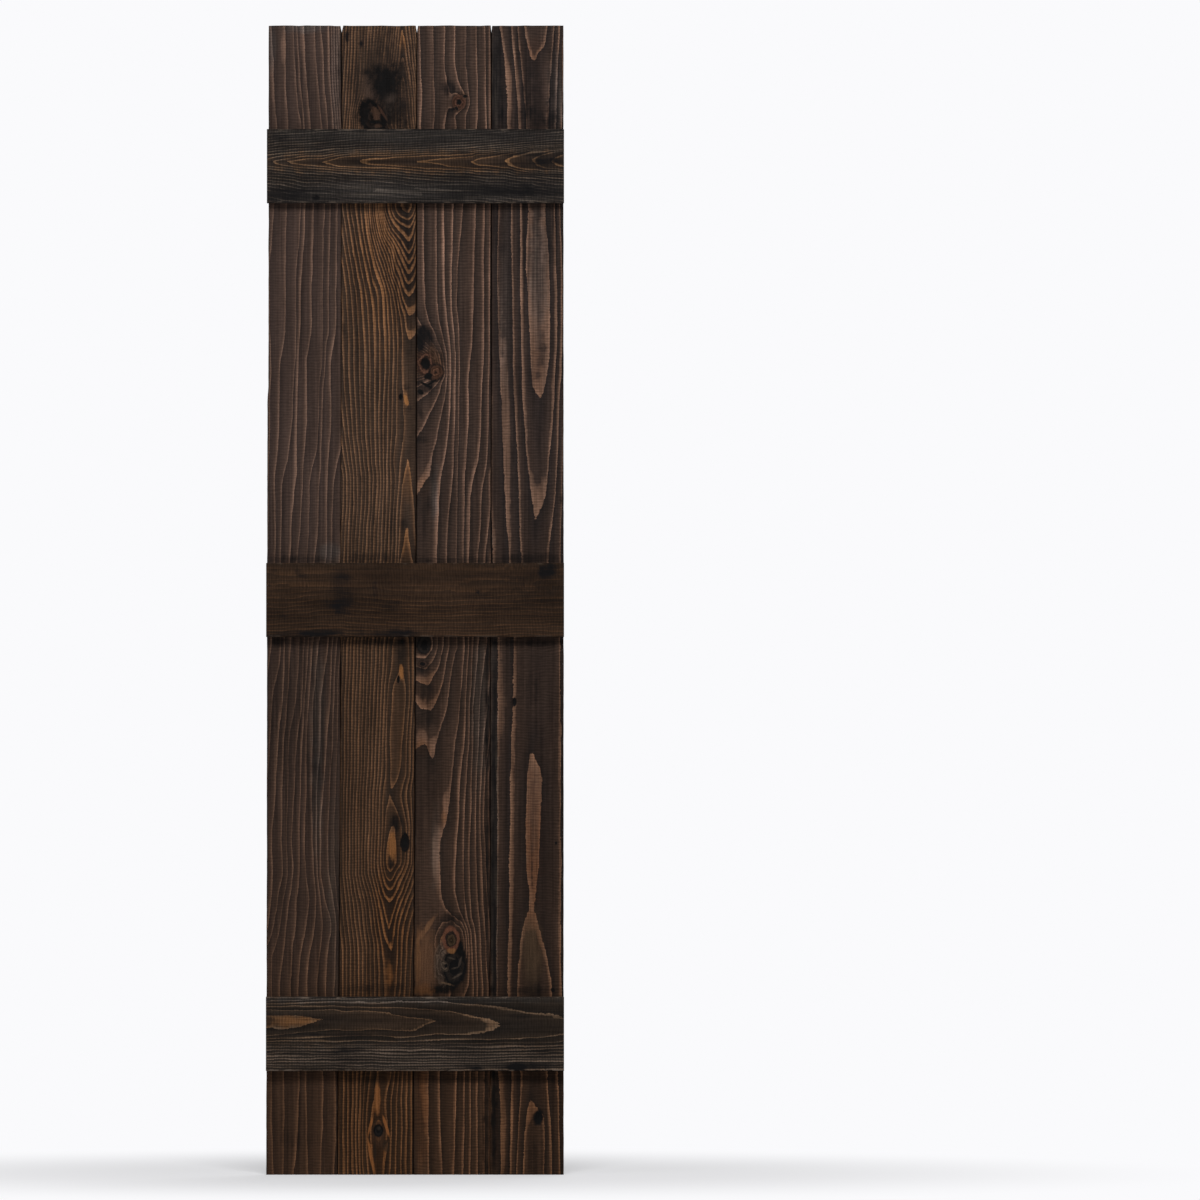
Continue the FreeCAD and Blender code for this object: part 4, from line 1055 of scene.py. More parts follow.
def noise(tree, place, stretch, detail=2.0):
    """Noise whose grain is 1 / stretch metres across, through and along the plank."""
    scaled = vector_maths(tree, "MULTIPLY", place, stretch)
    return step(tree, "ShaderNodeTexNoise", scaled, None, 1.0, detail, NOISE_ROUGH).outputs[0]


def noise_about_zero(tree, place, stretch, detail=2.0):
    return maths(tree, "SUBTRACT", noise(tree, place, stretch, detail), 0.5)


def blend(tree, share, first, second, how="MIX"):
    node = step(tree, "ShaderNodeMix", data_type="RGBA", blend_type=how)
    for number, value in ((0, share), (6, first), (7, second)):
        feed(tree, value, node.inputs[number])
    return node.outputs[2]


def toned(tree, colour, tone):
    """A colour made lighter or darker by a tone about one."""
    grey_tone = step(tree, "ShaderNodeCombineColor", tone, tone, tone).outputs[0]
    return blend(tree, 1.0, colour, grey_tone, "MULTIPLY")


# %% [markdown]
# ### Growth lines
# Each yearly ring fades slowly from dark early wood to pale late wood and then ends in a sharp edge. The part of the
# ring number after the point gives that ramp: it climbs from 0 to 1 and falls back at once. What is left of the ring,
# divided by the pace, is the distance to the sharp edge, so lines are about as wide where the rings lie far apart as
# where they are close. Two small noises are added before the fall, one drawn out along the fibres and one along the
# saw's ripples, so tips split into fingers and edges look combed. Each ring has its own strength, firmness makes a
# line crisp, and a dab of pale widens it until it fills the ring or, below zero, fades it. Stripes of a wave texture
# would be quicker, but they couldn't close round a knot.

# %% Growth lines group
LINE_SOCKETS = {"Line Width": ("float", 2.0), "Line Share": ("float", 0.1), "Raggedness": ("float", 0.2),
                "Variety": ("float", 0.5), "Firmness": ("float", 0.3)}
growth_lines, given, result = new_group(
    "Growth lines",
    {"Place": ("vector", None), "Rings": ("float", 0), "Pace": ("float", 0.1), "Pale": ("float", 0), **LINE_SOCKETS},
    {"Line": "float", "Ramp": "float"})
tree = growth_lines
fingers = noise_about_zero(tree, given["Place"], (520, 520, 26))
combed = noise_about_zero(tree, given["Place"], (90, 90, 420), 1.0)
uneven = maths(tree, "MULTIPLY_ADD", combed, 0.5, fingers)
ease = maths(tree, "POWER", maths(tree, "MULTIPLY", given["Pace"], 3.0), 0.38)
count = maths(tree, "MULTIPLY_ADD", uneven, maths(tree, "MULTIPLY", given["Raggedness"], ease), given["Rings"])
ramp = maths(tree, "FRACT", count)
year = maths(tree, "FLOOR", count)
own_tone = step(tree, "ShaderNodeTexWhiteNoise", None, year, noise_dimensions="1D").outputs["Value"]
offset = step(tree, "ShaderNodeCombineXYZ", year, 0.0, maths(tree, "MULTIPLY", year, 0.37)).outputs[0]
shifted = vector_maths(tree, "ADD", given["Place"], offset)
waxing = spread(tree, noise(tree, shifted, (30, 30, 9), 1.0), 0.3, 0.7)
strength = maths(tree, "ADD", maths(tree, "MULTIPLY", own_tone, 0.6), maths(tree, "MULTIPLY", waxing, 0.4))
weakness = maths(tree, "MULTIPLY", given["Variety"], maths(tree, "SUBTRACT", 1.0, strength))
strength = maths(tree, "SUBTRACT", 1.0, weakness)
strength = maths(tree, "MAXIMUM", strength, given["Pale"])
strength = maths(tree, "MAXIMUM", strength, maths(tree, "MULTIPLY", given["Firmness"], 0.85))
spacing = maths(tree, "DIVIDE", 1.0, given["Pace"])
from_edge = maths(tree, "MULTIPLY", maths(tree, "SUBTRACT", 1.0, ramp), spacing)
shares = maths(tree, "ADD", given["Line Share"], given["Pale"])
own_width = maths(tree, "MULTIPLY_ADD", maths(tree, "MULTIPLY", waxing, own_tone), 1.5, 0.5)
band = maths(tree, "MULTIPLY_ADD", shares, spacing, maths(tree, "MULTIPLY", given["Line Width"], own_width))
climb = maths(tree, "SUBTRACT", 1.0, maths(tree, "DIVIDE", from_edge, band), clamp=True)
soft_line = maths(tree, "POWER", climb, 2.0)
firm_line = spread(tree, climb, 0.0, 0.5, curve="SMOOTHSTEP")
steep = step(tree, "ShaderNodeMix", given["Firmness"], None, soft_line, firm_line).outputs[0]
grain = spread(tree, noise(tree, given["Place"], (430, 430, 12), 2.0), 0.3, 0.7, 0.55, 1.1)
filled = maths(tree, "MULTIPLY", spread(tree, climb, 0.05, 0.4), grain)
laid = maths(tree, "MULTIPLY_ADD", filled, 0.72, maths(tree, "MULTIPLY", steep, 0.28))
full = step(tree, "ShaderNodeMix", given["Pale"], None, steep, laid).outputs[0]
dry = spread(tree, noise(tree, given["Place"], (480, 480, 18), 2.0), 0.3, 0.7, 0.7, 1.22)
faded = spread(tree, given["Pale"], -0.45, 0.0)
line = maths(tree, "MULTIPLY", maths(tree, "MULTIPLY", full, strength), dry)
feed(tree, maths(tree, "MULTIPLY", line, faded), result["Line"])
feed(tree, ramp, result["Ramp"])
print("group:", growth_lines.name)

# %% [markdown]
# ### Fibres, saw ripples and blotches
# Close up, softwood is a bundle of fine fibres along the plank. The saw blade crossed them and left shallow level
# ripples every few millimetres, which hold more stain. The stain itself went on by hand and is uneven over patches
# as large as a hand. Fibres and blotches are noises with different stretch, and the ripples are a wave that a noise
# bends and breaks up.

# %% Fibres group
fibres, given, result = new_group("Fibres", {"Place": ("vector", None)}, {"Fibre": "float"})
fine = noise(fibres, given["Place"], (560, 560, 13), 2.0)
coarse = noise(fibres, given["Place"], (210, 210, 5), 2.0)
feed(fibres, spread(fibres, maths(fibres, "ADD", fine, coarse), 0.7, 1.3), result["Fibre"])
print("group:", fibres.name)

# %% Saw ripples group
saw_ripples, given, result = new_group(
    "Saw ripples", {"Place": ("vector", None), "Spacing": ("float", 0.0034)}, {"Ripple": "float"})
tree = saw_ripples
height = step(tree, "ShaderNodeSeparateXYZ", given["Place"]).outputs[2]
wander = noise(tree, given["Place"], (24, 24, 40), 2.0)
turns = maths(tree, "ADD", maths(tree, "DIVIDE", height, given["Spacing"]), maths(tree, "MULTIPLY", wander, 3.0))
wave = maths(tree, "SINE", maths(tree, "MULTIPLY", turns, 2 * math.pi))
broken = noise(tree, given["Place"], (110, 110, 430), 2.0)
mixed = maths(tree, "ADD", maths(tree, "MULTIPLY", wave, 0.30), maths(tree, "MULTIPLY", broken, 1.5))
feed(tree, spread(tree, mixed, 0.3, 1.2), result["Ripple"])
print("group:", saw_ripples.name)

# %% Blotches group
blotches, given, result = new_group("Blotches", {"Place": ("vector", None)}, {"Blotch": "float", "Speck": "float"})
feed(blotches, spread(blotches, noise(blotches, given["Place"], (26, 26, 9), 4.0), 0.3, 0.7), result["Blotch"])
feed(blotches, spread(blotches, noise(blotches, given["Place"], (420, 420, 260), 2.0), 0.25, 0.75), result["Speck"])
print("group:", blotches.name)

# %% [markdown]
# ### The stained wood
# This group puts the blocks together. The lines are laid on the dark ground, orange dabs warm them, grey dabs drain
# their colour and add silvery streaks, fibres, ripples and blotches lighten and darken them, and smudges turn them
# black, as stain and as the painted shadow and painted shade beside the battens. On the boards the colour is then
# multiplied by painted shade, darker and warmer toward the foot. Worn corners are chipped paler or stained darker,
# and the side walls are painted dark: stain soaked into the edges, and painted shade in the cracks between boards.
# It puts out the colour, how rough the surface is, and a height for the bump.

# %% Stained wood group
# the third colour is the black of smudges: stain, and the painted shadow and painted shade beside the battens
CRISP_GROUND, SILVERY, SOAKED_AND_SHADED = paint(19, 16, 15), paint(112, 100, 88), paint(12, 11, 12)
# the second colour here darkens rims and side walls: stain soaked into the edges, and painted shade in the cracks
# between boards
CHIPPED, EDGE_STAIN_AND_SHADE = paint(96, 84, 74), paint(20, 17, 16)
stained_wood, given, result = new_group(
    "Stained wood",
    {"Place": ("vector", None), "Streaks": ("float", 0.3), "Ground": ("colour", None),
     "Line Colour": ("colour", None), "Ember": ("colour", None), **LINE_SOCKETS, "Ripple Depth": ("float", 0.3),
     "Fibre Depth": ("float", 0.3), "Blotch Depth": ("float", 0.3), "Rubbed": ("float", 0.5),
     "Edge Stain And Shade": ("float", 0.5), "Tint": ("colour", (1, 1, 1, 1))},
    {"Colour": "colour", "Roughness": "float", "Height": "float"})
tree = stained_wood
carried = {name: step(tree, "ShaderNodeAttribute", attribute_name=name).outputs["Fac"]
           for name in ("rings", "pace", "pale", "ember", "smudge_and_shade", "grey", "firm", "edge_wear_and_shade")}
firmness = maths(tree, "ADD", given["Firmness"], carried["firm"], clamp=True)
passed_on = {socket: given[socket] for socket in ("Place", *LINE_SOCKETS)}
passed_on["Firmness"] = firmness
lines = use_group(tree, growth_lines, Rings=carried["rings"], Pace=carried["pace"], Pale=carried["pale"], **passed_on)
fibre = use_group(tree, fibres, Place=given["Place"])["Fibre"]
ripple = use_group(tree, saw_ripples, Place=given["Place"])["Ripple"]
stain = use_group(tree, blotches, Place=given["Place"])

warm_line = blend(tree, carried["ember"], given["Line Colour"], given["Ember"])
warm_ground = blend(tree, maths(tree, "MULTIPLY", carried["ember"], 0.05), given["Ground"], given["Ember"])
warm_ground = blend(tree, maths(tree, "MULTIPLY", carried["firm"], 0.75), warm_ground, CRISP_GROUND)
wash = maths(tree, "MULTIPLY_ADD", firmness, -0.14, 0.19)
body = maths(tree, "MULTIPLY_ADD", lines["Ramp"], wash, maths(tree, "MULTIPLY", lines["Line"], 0.84))
wood = blend(tree, body, warm_ground, warm_line)
colourful = maths(tree, "SUBTRACT", 1.0, maths(tree, "MULTIPLY", carried["grey"], 0.55))
drained = step(tree, "ShaderNodeHueSaturation", 0.5, colourful, 1.0, 1.0, wood).outputs[0]
streak = spread(tree, noise(tree, given["Place"], (820, 820, 9), 2.0), 0.55, 0.68)
silvered = maths(tree, "MULTIPLY", maths(tree, "MULTIPLY", streak, carried["grey"]), given["Streaks"], clamp=True)
drained = blend(tree, silvered, drained, SILVERY)


def shade(value, depth, colour):
    """Lightens and darkens a colour by a value about one half."""
    either_way = maths(tree, "SUBTRACT", value, 0.5)
    tone = maths(tree, "MULTIPLY_ADD", either_way, maths(tree, "MULTIPLY", depth, 2.0), 1.0)
    return toned(tree, colour, tone)


wood = shade(fibre, given["Fibre Depth"], drained)
wood = shade(ripple, given["Ripple Depth"], wood)
wood = shade(stain["Blotch"], given["Blotch Depth"], wood)
# smudges: stain, and also the painted shadow and painted shade in bands beside the battens
feathered = noise_about_zero(tree, given["Place"], (150, 150, 55), 3.0)
streaky = maths(tree, "MULTIPLY_ADD", maths(tree, "SUBTRACT", 0.5, fibre), 0.4, carried["smudge_and_shade"])
where_smudge_and_shade = maths(tree, "MULTIPLY", carried["smudge_and_shade"], 2.0, clamp=True)
streaky = maths(tree, "MULTIPLY_ADD", feathered, where_smudge_and_shade, streaky)
soaked_and_shaded = maths(tree, "MULTIPLY", spread(tree, streaky, 0.12, 0.95), 0.97)
wood = blend(tree, soaked_and_shaded, wood, SOAKED_AND_SHADED)
# painted shade toward the foot of the boards multiplies the colour
wood = blend(tree, 1.0, wood, given["Tint"], "MULTIPLY")
flaked = spread(tree, noise(tree, given["Place"], (160, 160, 60), 3.0), 0.52, 0.62)
chipped = maths(tree, "MULTIPLY", spread(tree, carried["edge_wear_and_shade"], 0.15, 0.5), flaked)
wood = blend(tree, maths(tree, "MULTIPLY", chipped, given["Rubbed"]), wood, CHIPPED)
# rims and side walls painted dark: stain soaked into the edges, and painted shade in the cracks between boards
edge_stain_and_shade = maths(tree, "MULTIPLY", maths(tree, "POWER", carried["edge_wear_and_shade"], 2.0), given["Edge Stain And Shade"])
wood = blend(tree, edge_stain_and_shade, wood, EDGE_STAIN_AND_SHADE)
feed(tree, wood, result["Colour"])
dull = maths(tree, "MULTIPLY_ADD", stain["Speck"], 0.16, 0.62)
feed(tree, maths(tree, "MULTIPLY_ADD", lines["Line"], -0.06, dull), result["Roughness"])
relief = maths(tree, "MULTIPLY_ADD", ripple, 0.5, maths(tree, "MULTIPLY", fibre, 0.45))
feed(tree, maths(tree, "MULTIPLY_ADD", lines["Line"], 0.08, relief), result["Height"])
print("group:", stained_wood.name)

# %% [markdown]
# ### Knots
# A knot is a branch cut across: an oval with its own tight rings, a black heart where the bark or a crack took up the
# stain, and often a black rim where it came loose. Drawn with the mesh's points it would be blurred, so this group
# works out for each pixel how far it is from the knot's middle, in knot sizes. Without heart, rings and rim it paints
# a plain patch, and a soft edge, a thin cover and an uneven outline turn that into a smear of resin or stain.

# %% Knot group
BLACK, RIM_BLACK = paint(11, 10, 10), paint(10, 9, 9)
knot, given, result = new_group(
    "Knot",
    {"Under": ("colour", None), "Spot": ("vector", None), "Middle": ("vector", None), "Half Size": ("vector", None),
     "Lean": ("float", 0), "Wood": ("colour", None), "Heart": ("float", 0.4), "Rings": ("float", 3),
     "Rim": ("float", 0.8), "Cover": ("float", 1.0), "Soft Edge": ("float", 0.0), "Uneven": ("float", 1.0)},
    {"Colour": "colour"})
tree = knot
apart = vector_maths(tree, "SUBTRACT", given["Spot"], given["Middle"])
turned = feed_named(tree, step(tree, "ShaderNodeVectorRotate", rotation_type="Y_AXIS"),
                    {"Vector": apart, "Angle": given["Lean"]})[0]
scaled = vector_maths(tree, "DIVIDE", turned, given["Half Size"])
far = vector_maths(tree, "LENGTH", vector_maths(tree, "MULTIPLY", scaled, (1, 0, 1)))
lumpy = noise_about_zero(tree, given["Spot"], (190, 190, 140), 3.0)
gritty = noise_about_zero(tree, given["Spot"], (900, 900, 700), 3.0)
rough = maths(tree, "MULTIPLY_ADD", gritty, 0.4, lumpy)
reach = maths(tree, "MULTIPLY_ADD", rough, given["Uneven"], far)
ring_line = maths(tree, "POWER", maths(tree, "FRACT", maths(tree, "MULTIPLY", reach, given["Rings"])), 1.6)
depth = maths(tree, "MULTIPLY", spread(tree, given["Rings"], 0.0, 1.0), 0.8)
tone = maths(tree, "SUBTRACT", 1.0, maths(tree, "MULTIPLY", depth, maths(tree, "SUBTRACT", 1.0, ring_line)))
combed = noise(tree, given["Spot"], (520, 520, 30), 2.0)
fibrous = maths(tree, "MULTIPLY_ADD", gritty, 0.8, combed)
tone = maths(tree, "MULTIPLY", tone, spread(tree, fibrous, 0.25, 0.75, 0.55, 1.4))
body = toned(tree, given["Wood"], tone)
outer = maths(tree, "ADD", 1.0, given["Soft Edge"])
inner = maths(tree, "SUBTRACT", 0.84, given["Soft Edge"])
inside = spread(tree, reach, outer, inner, curve="SMOOTHSTEP")
inside = maths(tree, "MULTIPLY", inside, given["Cover"])
colour = blend(tree, inside, given["Under"], body)
ring_out = maths(tree, "MULTIPLY", spread(tree, reach, 0.66, 0.88), spread(tree, reach, 1.26, 1.02))
colour = blend(tree, maths(tree, "MULTIPLY", ring_out, given["Rim"]), colour, RIM_BLACK)
in_heart = spread(tree, maths(tree, "SUBTRACT", reach, given["Heart"]), 0.06, -0.10)
in_heart = maths(tree, "MULTIPLY", in_heart, spread(tree, given["Heart"], 0.0, 0.05))
colour = blend(tree, in_heart, colour, BLACK)
feed(tree, colour, result["Colour"])
print("group:", knot.name)

# %% [markdown]
# ### The knots that show
# Each entry is one knot, patch or smear, painted over those before it. The largest knots take several: a dark
# surround, the oval, its heart, and small torn bits across it. A picture of each knot would show more, but it
# couldn't be moved, resized or lit like the wood round it.

# %% Knots seen on the boards
REDDISH, ORANGE, BROWN, SILVER = paint(88, 60, 48), paint(112, 74, 42), paint(58, 42, 34), paint(82, 68, 58)


def spot(px, py, half_wide, half_high, wood=BROWN, lean=0.0, heart=0.0, rings=0.0, rim=0.0, cover=1.0, soft=0.0,
         uneven=0.8):
    """One knot or patch, its middle and half sizes in photo pixels."""
    x, z = from_photo(px, py, board_front)
    size = (half_wide / PHOTO_SCALE, 1.0, half_high / PHOTO_SCALE)
    return {"Middle": (x, 0, z), "Half Size": size, "Lean": lean, "Wood": wood, "Heart": heart, "Rings": rings,
            "Rim": rim, "Cover": cover, "Soft Edge": soft, "Uneven": uneven}


KNOTS = {
    "left_inner_board": [
        spot(387, 88, 28, 44, paint(33, 26, 23), cover=0.6, soft=0.5, uneven=1.2),
        spot(368, 88, 7, 14, paint(62, 48, 40), cover=0.6, soft=0.35),
        spot(387, 81, 18, 17, BLACK, cover=0.95, soft=0.4, uneven=1.8),
        spot(373, 72, 11, 4, BLACK, cover=0.7, soft=0.5, uneven=1.6),
        spot(393, 112, 12, 22, BLACK, lean=0.4, cover=0.8, soft=0.5, uneven=1.6),
        spot(391, 104, 11, 15, paint(46, 38, 33), rings=2.6, cover=0.35, soft=0.4),
        spot(390, 98, 5, 5, paint(64, 53, 47), cover=0.45, soft=0.5),
        spot(384, 88, 9, 11, BLACK, cover=0.7, soft=0.4),
        spot(372, 117, 11.5, 16.5, paint(34, 26, 22), lean=0.35, rings=2.6, rim=1.0, uneven=0.6),
        spot(375.5, 113, 4.2, 7.5, paint(56, 40, 31), lean=0.5, soft=0.1, uneven=2.2),
        spot(375, 122, 7, 1.4, BLACK),
        spot(378, 126, 4, 2.4, paint(52, 38, 30), soft=0.25, uneven=1.2),
        spot(365, 115, 4.5, 11, BLACK, lean=-0.2, cover=0.8, soft=0.2),
        spot(382, 112, 1.4, 9, paint(66, 46, 36), lean=0.55, cover=0.6, soft=0.3),
        spot(406, 400, 2.2, 6.4, paint(124, 84, 50), lean=0.3),
        spot(400.8, 397, 2.4, 3.2, heart=0.9, rim=0.3),
        spot(401.5, 672, 2.4, 7.5, ORANGE, lean=0.1, cover=0.85, soft=0.1),
        spot(398.4, 679.5, 1.4, 4.4, heart=0.9),
        spot(392.2, 846, 4.0, 14, paint(106, 70, 40), cover=0.85, soft=0.1),
        spot(405, 842.5, 4.2, 8.6, paint(50, 37, 33), heart=0.7, rings=1.6, rim=1.0),
        spot(377.5, 1099, 3.0, 17, paint(112, 71, 40), cover=0.8, soft=0.25),
        spot(378.4, 1133, 6.4, 15, paint(52, 35, 24), cover=0.8, soft=0.15),
        spot(370.6, 1125, 1.4, 11, paint(116, 73, 40), lean=-0.25, soft=0.2),
        spot(386, 1126, 1.6, 12, paint(112, 70, 39), lean=0.3, soft=0.2),
        spot(371, 1156, 1.7, 19, paint(114, 72, 40), lean=0.2, soft=0.2),
        spot(385, 1155, 1.2, 14, paint(96, 62, 36), lean=-0.2, soft=0.2),
        spot(374.5, 1152, 2.2, 10, paint(30, 24, 19), cover=0.7, soft=0.3),
        spot(386, 1146, 3.2, 7, paint(34, 27, 21), cover=0.7, soft=0.3),
        spot(378.4, 1130.6, 4.4, 5.6, paint(24, 21, 20), heart=0.5, rim=1.0, uneven=0.3),
        spot(379, 1128, 2, 2.2, paint(50, 42, 36), cover=0.6, soft=0.4),
    ],
    "right_inner_board": [
        spot(458.8, 102.5, 7.4, 8.2, REDDISH, heart=0.36, rings=2.2, rim=0.45, cover=0.9),
        spot(465, 96.4, 2.8, 2.2, heart=0.7),
        spot(456.5, 108.5, 2.0, 2.8, lean=0.5, heart=0.8),
        spot(425, 363.5, 10, 13.5, REDDISH, heart=0.48, rings=2.8, rim=0.5, cover=0.9),
        spot(436.4, 372.6, 7.4, 8.2, paint(86, 59, 45), heart=0.12, rings=2.2, rim=0.8),
        spot(433, 353, 5, 10, paint(70, 50, 38), lean=0.4, rings=1.5, cover=0.7, soft=0.3),
        spot(428.5, 376, 4.4, 3.2, lean=0.4, heart=0.95),
        spot(426, 385, 8, 1.3, BLACK, lean=-0.5, soft=0.1),
        spot(431, 383, 7, 1.1, BLACK, lean=0.6, soft=0.1),
        spot(420.5, 392, 3.6, 2.6, BLACK, lean=-0.6, soft=0.1),
        spot(426, 960, 12, 32, paint(86, 60, 42), cover=0.62, soft=0.35, uneven=1.2),
        spot(425.5, 930, 2.6, 17, paint(94, 66, 46), lean=-0.62, cover=0.7, soft=0.3, uneven=1.2),
        spot(418, 962, 3, 30, paint(90, 61, 39), cover=0.6, soft=0.35),
        spot(424, 990, 10, 6, paint(84, 54, 31), cover=0.6, soft=0.4, uneven=1.2),
        spot(447, 962, 14.5, 25, SILVER, lean=-0.1, rings=4.2, cover=0.75, soft=0.12, uneven=0.5),
        spot(454.5, 967, 10.5, 18, paint(58, 49, 43), lean=-0.15, heart=0.6, rings=1.8, rim=1.0, uneven=0.6),
        spot(444, 966, 4.2, 6.5, paint(92, 78, 66), lean=0.5, rings=1.6, cover=0.75, uneven=0.3),
        spot(446, 966, 1.6, 2.0, BLACK),
        spot(460, 949, 3.2, 9, BLACK, soft=0.15),
        spot(460, 962, 1.3, 6, paint(66, 56, 49), lean=-0.3, cover=0.5, soft=0.1),
        spot(457, 976, 6.0, 1.3, paint(66, 56, 48), lean=0.5, cover=0.6, soft=0.15, uneven=1.8),
        spot(452, 958.5, 4, 1.0, paint(58, 50, 43), lean=-0.3, cover=0.6, soft=0.15, uneven=1.8),
        spot(455, 968, 4, 0.9, paint(58, 50, 43), lean=0.25, cover=0.6, soft=0.15, uneven=1.8),
        spot(446, 983.5, 7, 1.1, paint(84, 66, 50), lean=-0.25, cover=0.7, soft=0.3, uneven=1.8),
        spot(450.9, 938.5, 9.2, 13.4, paint(100, 64, 48), rings=1.0, rim=0.3, soft=0.05, uneven=0.5),
        spot(451, 939, 6.4, 8.6, paint(40, 28, 23), uneven=0.5),
        spot(451.3, 940, 5.0, 7.4, paint(62, 48, 34), rings=1.2, rim=0.5),
        spot(451.5, 951, 4.6, 3.0, paint(98, 66, 40), cover=0.9, soft=0.2),
        spot(424, 645, 7, 9, paint(44, 38, 35), heart=0.55, rings=2.2, rim=0.8),
        spot(422.5, 664, 4.8, 3.4, heart=0.7, rim=0.5),
    ],
    "right_outer_board": [
        spot(532, 950, 10, 36, paint(66, 51, 37), cover=0.6, soft=0.5),
        spot(514.4, 702, 2.4, 5.0, heart=0.9),
        spot(538.4, 1117.6, 4.8, 7.6, heart=0.95, rim=0.6),
        spot(556, 843, 1.2, 1.9, heart=0.9),
        spot(553, 990, 2.2, 3.0, heart=0.9),
    ],
}
print("knots:", {name: len(spots) for name, spots in KNOTS.items()})

# %% [markdown]
# ## A material for each plank
# All seven planks had the same stain, but each took it in its own way: the left inner board is the most orange, the
# left outer one greyish, the middle batten plain warm brown. So each has its own material with its own few values.
# The battens lie on their sides, and a quarter turn of the coordinates lays their fibres and saw marks crosswise.

# %% Stain the planks
LOOK_SOCKETS = dict(
    ground="Ground", line="Line Colour", ember="Ember", width="Line Width", share="Line Share", firm="Firmness",
    rag="Raggedness", variety="Variety", ripple="Ripple Depth", fibre="Fibre Depth", blotch="Blotch Depth",
    rubbed="Rubbed", edge="Edge Stain And Shade", streaks="Streaks")
FINISHES = {
    "left_outer_board": dict(
        ground=paint(43, 34, 31), line=paint(112, 87, 73), ember=paint(124, 82, 50), width=2.3, share=0.10,
        firm=0.0, rag=0.2, variety=0.6, ripple=0.2, fibre=0.3, blotch=0.12, rubbed=0.1, edge=0.6, streaks=0.3),
    "left_inner_board": dict(
        ground=paint(39, 31, 26), line=paint(122, 89, 65), ember=paint(134, 91, 56), width=1.7, share=0.16,
        firm=0.15, rag=0.28, variety=0.5, ripple=0.26, fibre=0.3, blotch=0.22, rubbed=0.1, edge=0.6, streaks=0.15),
    "right_inner_board": dict(
        ground=paint(36, 29, 26), line=paint(132, 101, 84), ember=paint(124, 82, 50), width=2.0, share=0.09,
        firm=0.15, rag=0.25, variety=0.55, ripple=0.28, fibre=0.3, blotch=0.16, rubbed=0.1, edge=0.6, streaks=0.3),
    "right_outer_board": dict(
        ground=paint(30, 25, 24), line=paint(122, 93, 76), ember=paint(114, 76, 53), width=2.0, share=0.07,
        firm=0.3, rag=0.4, variety=0.45, ripple=0.28, fibre=0.3, blotch=0.18, rubbed=0.1, edge=0.5, streaks=0.3),
    "top_batten": dict(
        ground=paint(24, 21, 20), line=paint(90, 77, 65), ember=paint(128, 93, 62), width=0.8, share=0.15,
        firm=0.75, rag=0.35, variety=0.6, ripple=0.28, fibre=0.4, blotch=0.36, rubbed=0.6, edge=0.3, streaks=0.3),
    "middle_batten": dict(
        ground=paint(35, 25, 18), line=paint(68, 47, 31), ember=paint(110, 76, 48), width=1.0, share=0.15,
        firm=0.2, rag=0.35, variety=0.7, ripple=0.26, fibre=0.32, blotch=0.4, rubbed=0.25, edge=0.4, streaks=0.2),
    "bottom_batten": dict(
        ground=paint(24, 20, 17), line=paint(104, 83, 65), ember=paint(116, 79, 47), width=1.5, share=0.03,
        firm=0.6, rag=0.5, variety=0.65, ripple=0.24, fibre=0.38, blotch=0.22, rubbed=1.0, edge=0.2, streaks=0.3),
}
# share of the height, and what the colour is multiplied by there: painted shade, darker and warmer toward the foot
FOOT_SHADE_STOPS = ((0.0, (0.85, 0.71, 0.53)), (0.1, (0.85, 0.72, 0.55)), (0.22, (0.80, 0.74, 0.66)),
              (0.46, (0.80, 0.77, 0.72)), (0.60, (1.0, 1.0, 1.0)))
BUMP_STRENGTH = 0.4
BUMP_DEEP = 0.0006
GLOSS = 0.04
# each plank takes another part of the noises
NOISE_APART, NOISE_ALONG = 0.37, 0.21


def painted_foot_shade(tree, coords):
    """Painted shade: the boards' colour made darker and warmer toward the foot, as the light falls off downward."""
    height = step(tree, "ShaderNodeSeparateXYZ", coords).outputs[2]
    ramp = step(tree, "ShaderNodeValToRGB", spread(tree, height, cad_box[0][2], cad_box[1][2]))
    stops = ramp.color_ramp.elements
    stops.remove(stops[1])
    for number, (share, colour) in enumerate(FOOT_SHADE_STOPS):
        stop = stops[0] if number == 0 else stops.new(share)
        stop.position, stop.color = share, colour + (1.0,)
    return ramp.outputs[0]


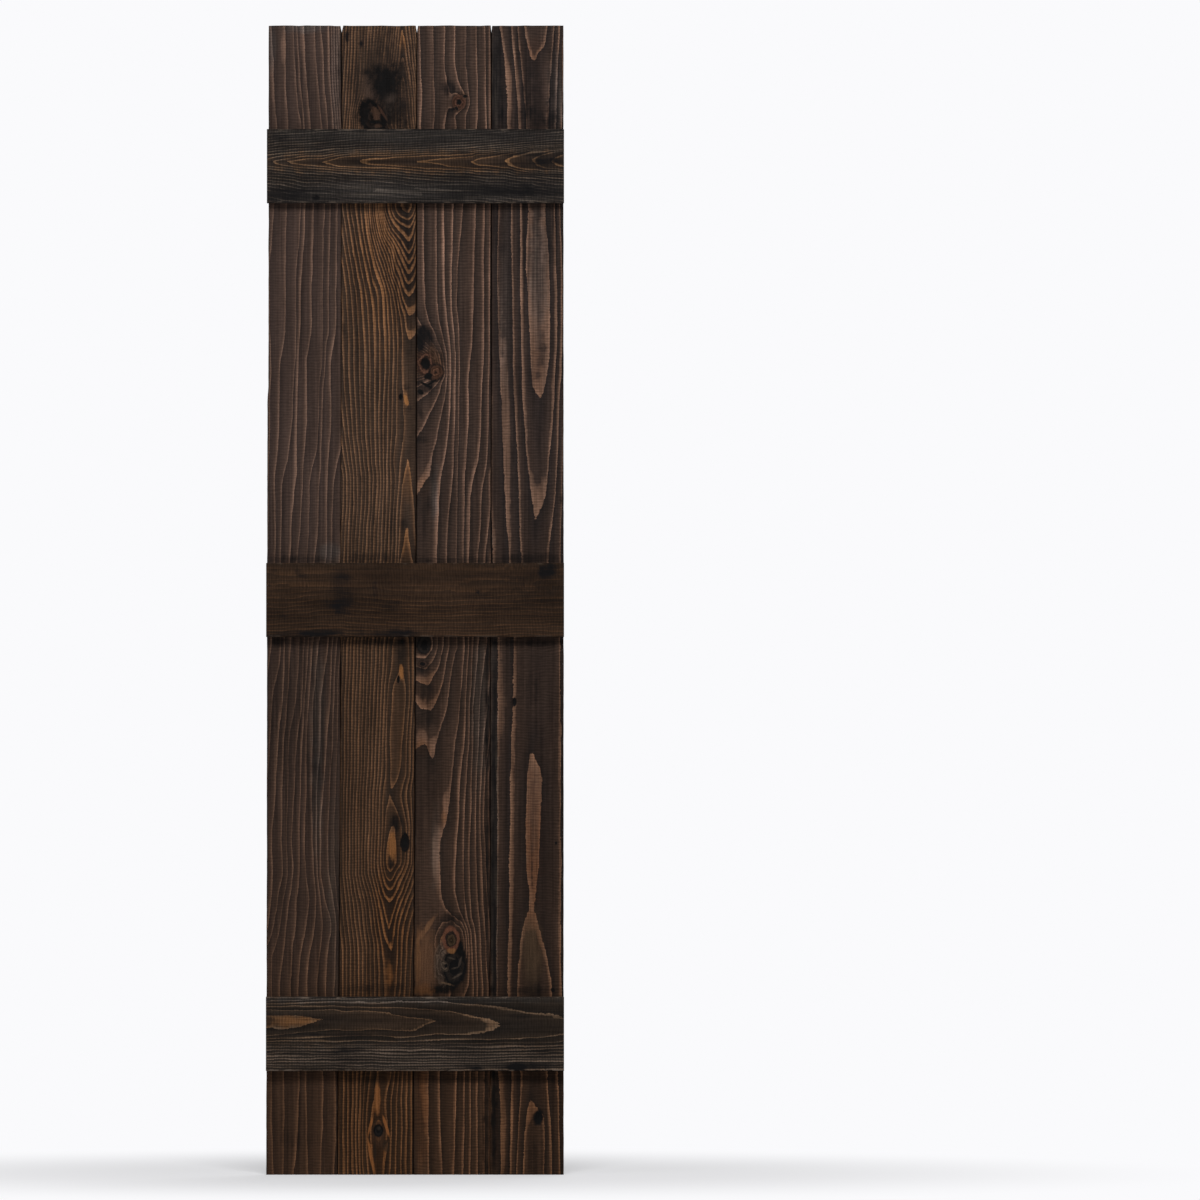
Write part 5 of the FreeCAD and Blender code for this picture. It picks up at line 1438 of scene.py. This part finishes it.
def stain_plank(name, look):
    material, tree = empty_material(name + "_stain")
    turn = (0, math.pi / 2, 0) if PLANKS[name]["lying"] else (0, 0, 0)
    own_spot = (NOISE_APART * PLANKS[name]["seed"] / 100, 0, NOISE_ALONG)
    coords = step(tree, "ShaderNodeTexCoord").outputs["Object"]
    place = step(tree, "ShaderNodeMapping", coords, own_spot, turn).outputs[0]
    # the boards take painted shade toward the foot, the battens none
    foot_shade = None if PLANKS[name]["lying"] else painted_foot_shade(tree, coords)
    values = {LOOK_SOCKETS[key]: value for key, value in look.items()}
    wood = use_group(tree, stained_wood, Place=place, Tint=foot_shade, **values)
    bump = feed_named(tree, step(tree, "ShaderNodeBump"),
                      {"Strength": BUMP_STRENGTH, "Distance": BUMP_DEEP, "Height": wood["Height"]})
    colour = wood["Colour"]
    for found in KNOTS.get(name, ()):
        colour = use_group(tree, knot, Under=colour, Spot=coords, **found)["Colour"]
    skin = feed_named(tree, step(tree, "ShaderNodeBsdfPrincipled"),
                      {"Base Color": colour, "Roughness": wood["Roughness"], "Normal": bump[0],
                       "Specular IOR Level": GLOSS})
    step(tree, "ShaderNodeOutputMaterial", skin[0])
    return material


for name, look in FINISHES.items():
    pieces[name].data.materials.append(stain_plank(name, look))
print("stained:", len(FINISHES), "planks")

# %% [markdown]
# ## Screw plating
# The screws' shape in the solid model is right, so those pieces stay as they are and only get a better surface:
# yellow zinc plating that drifts between gold and olive and is dulled by small scuffs of grime.

# %% Plate the screws
GOLD, OLIVE, GRIME = paint(176, 150, 92), paint(150, 140, 104), paint(96, 84, 62)
plating, tree = empty_material("yellow_zinc")
coords = step(tree, "ShaderNodeTexCoord").outputs["Object"]
patch = spread(tree, noise(tree, coords, (700, 700, 700), 3.0), 0.35, 0.65)
scuff = spread(tree, noise(tree, coords, (2600, 2600, 2600), 2.0), 0.45, 0.7)
gold = blend(tree, patch, GOLD, OLIVE)
worn = blend(tree, maths(tree, "MULTIPLY", scuff, 0.5), gold, GRIME)
dull = maths(tree, "MULTIPLY_ADD", scuff, 0.3, 0.28)
skin = feed_named(tree, step(tree, "ShaderNodeBsdfPrincipled"),
                  {"Metallic": 1.0, "Base Color": worn, "Roughness": dull})
step(tree, "ShaderNodeOutputMaterial", skin[0])
for node in SCREWS:
    thing = bpy.data.objects[node]
    thing.data.materials.clear()
    thing.data.materials.append(plating)
print("plated:", len(SCREWS), "screws")
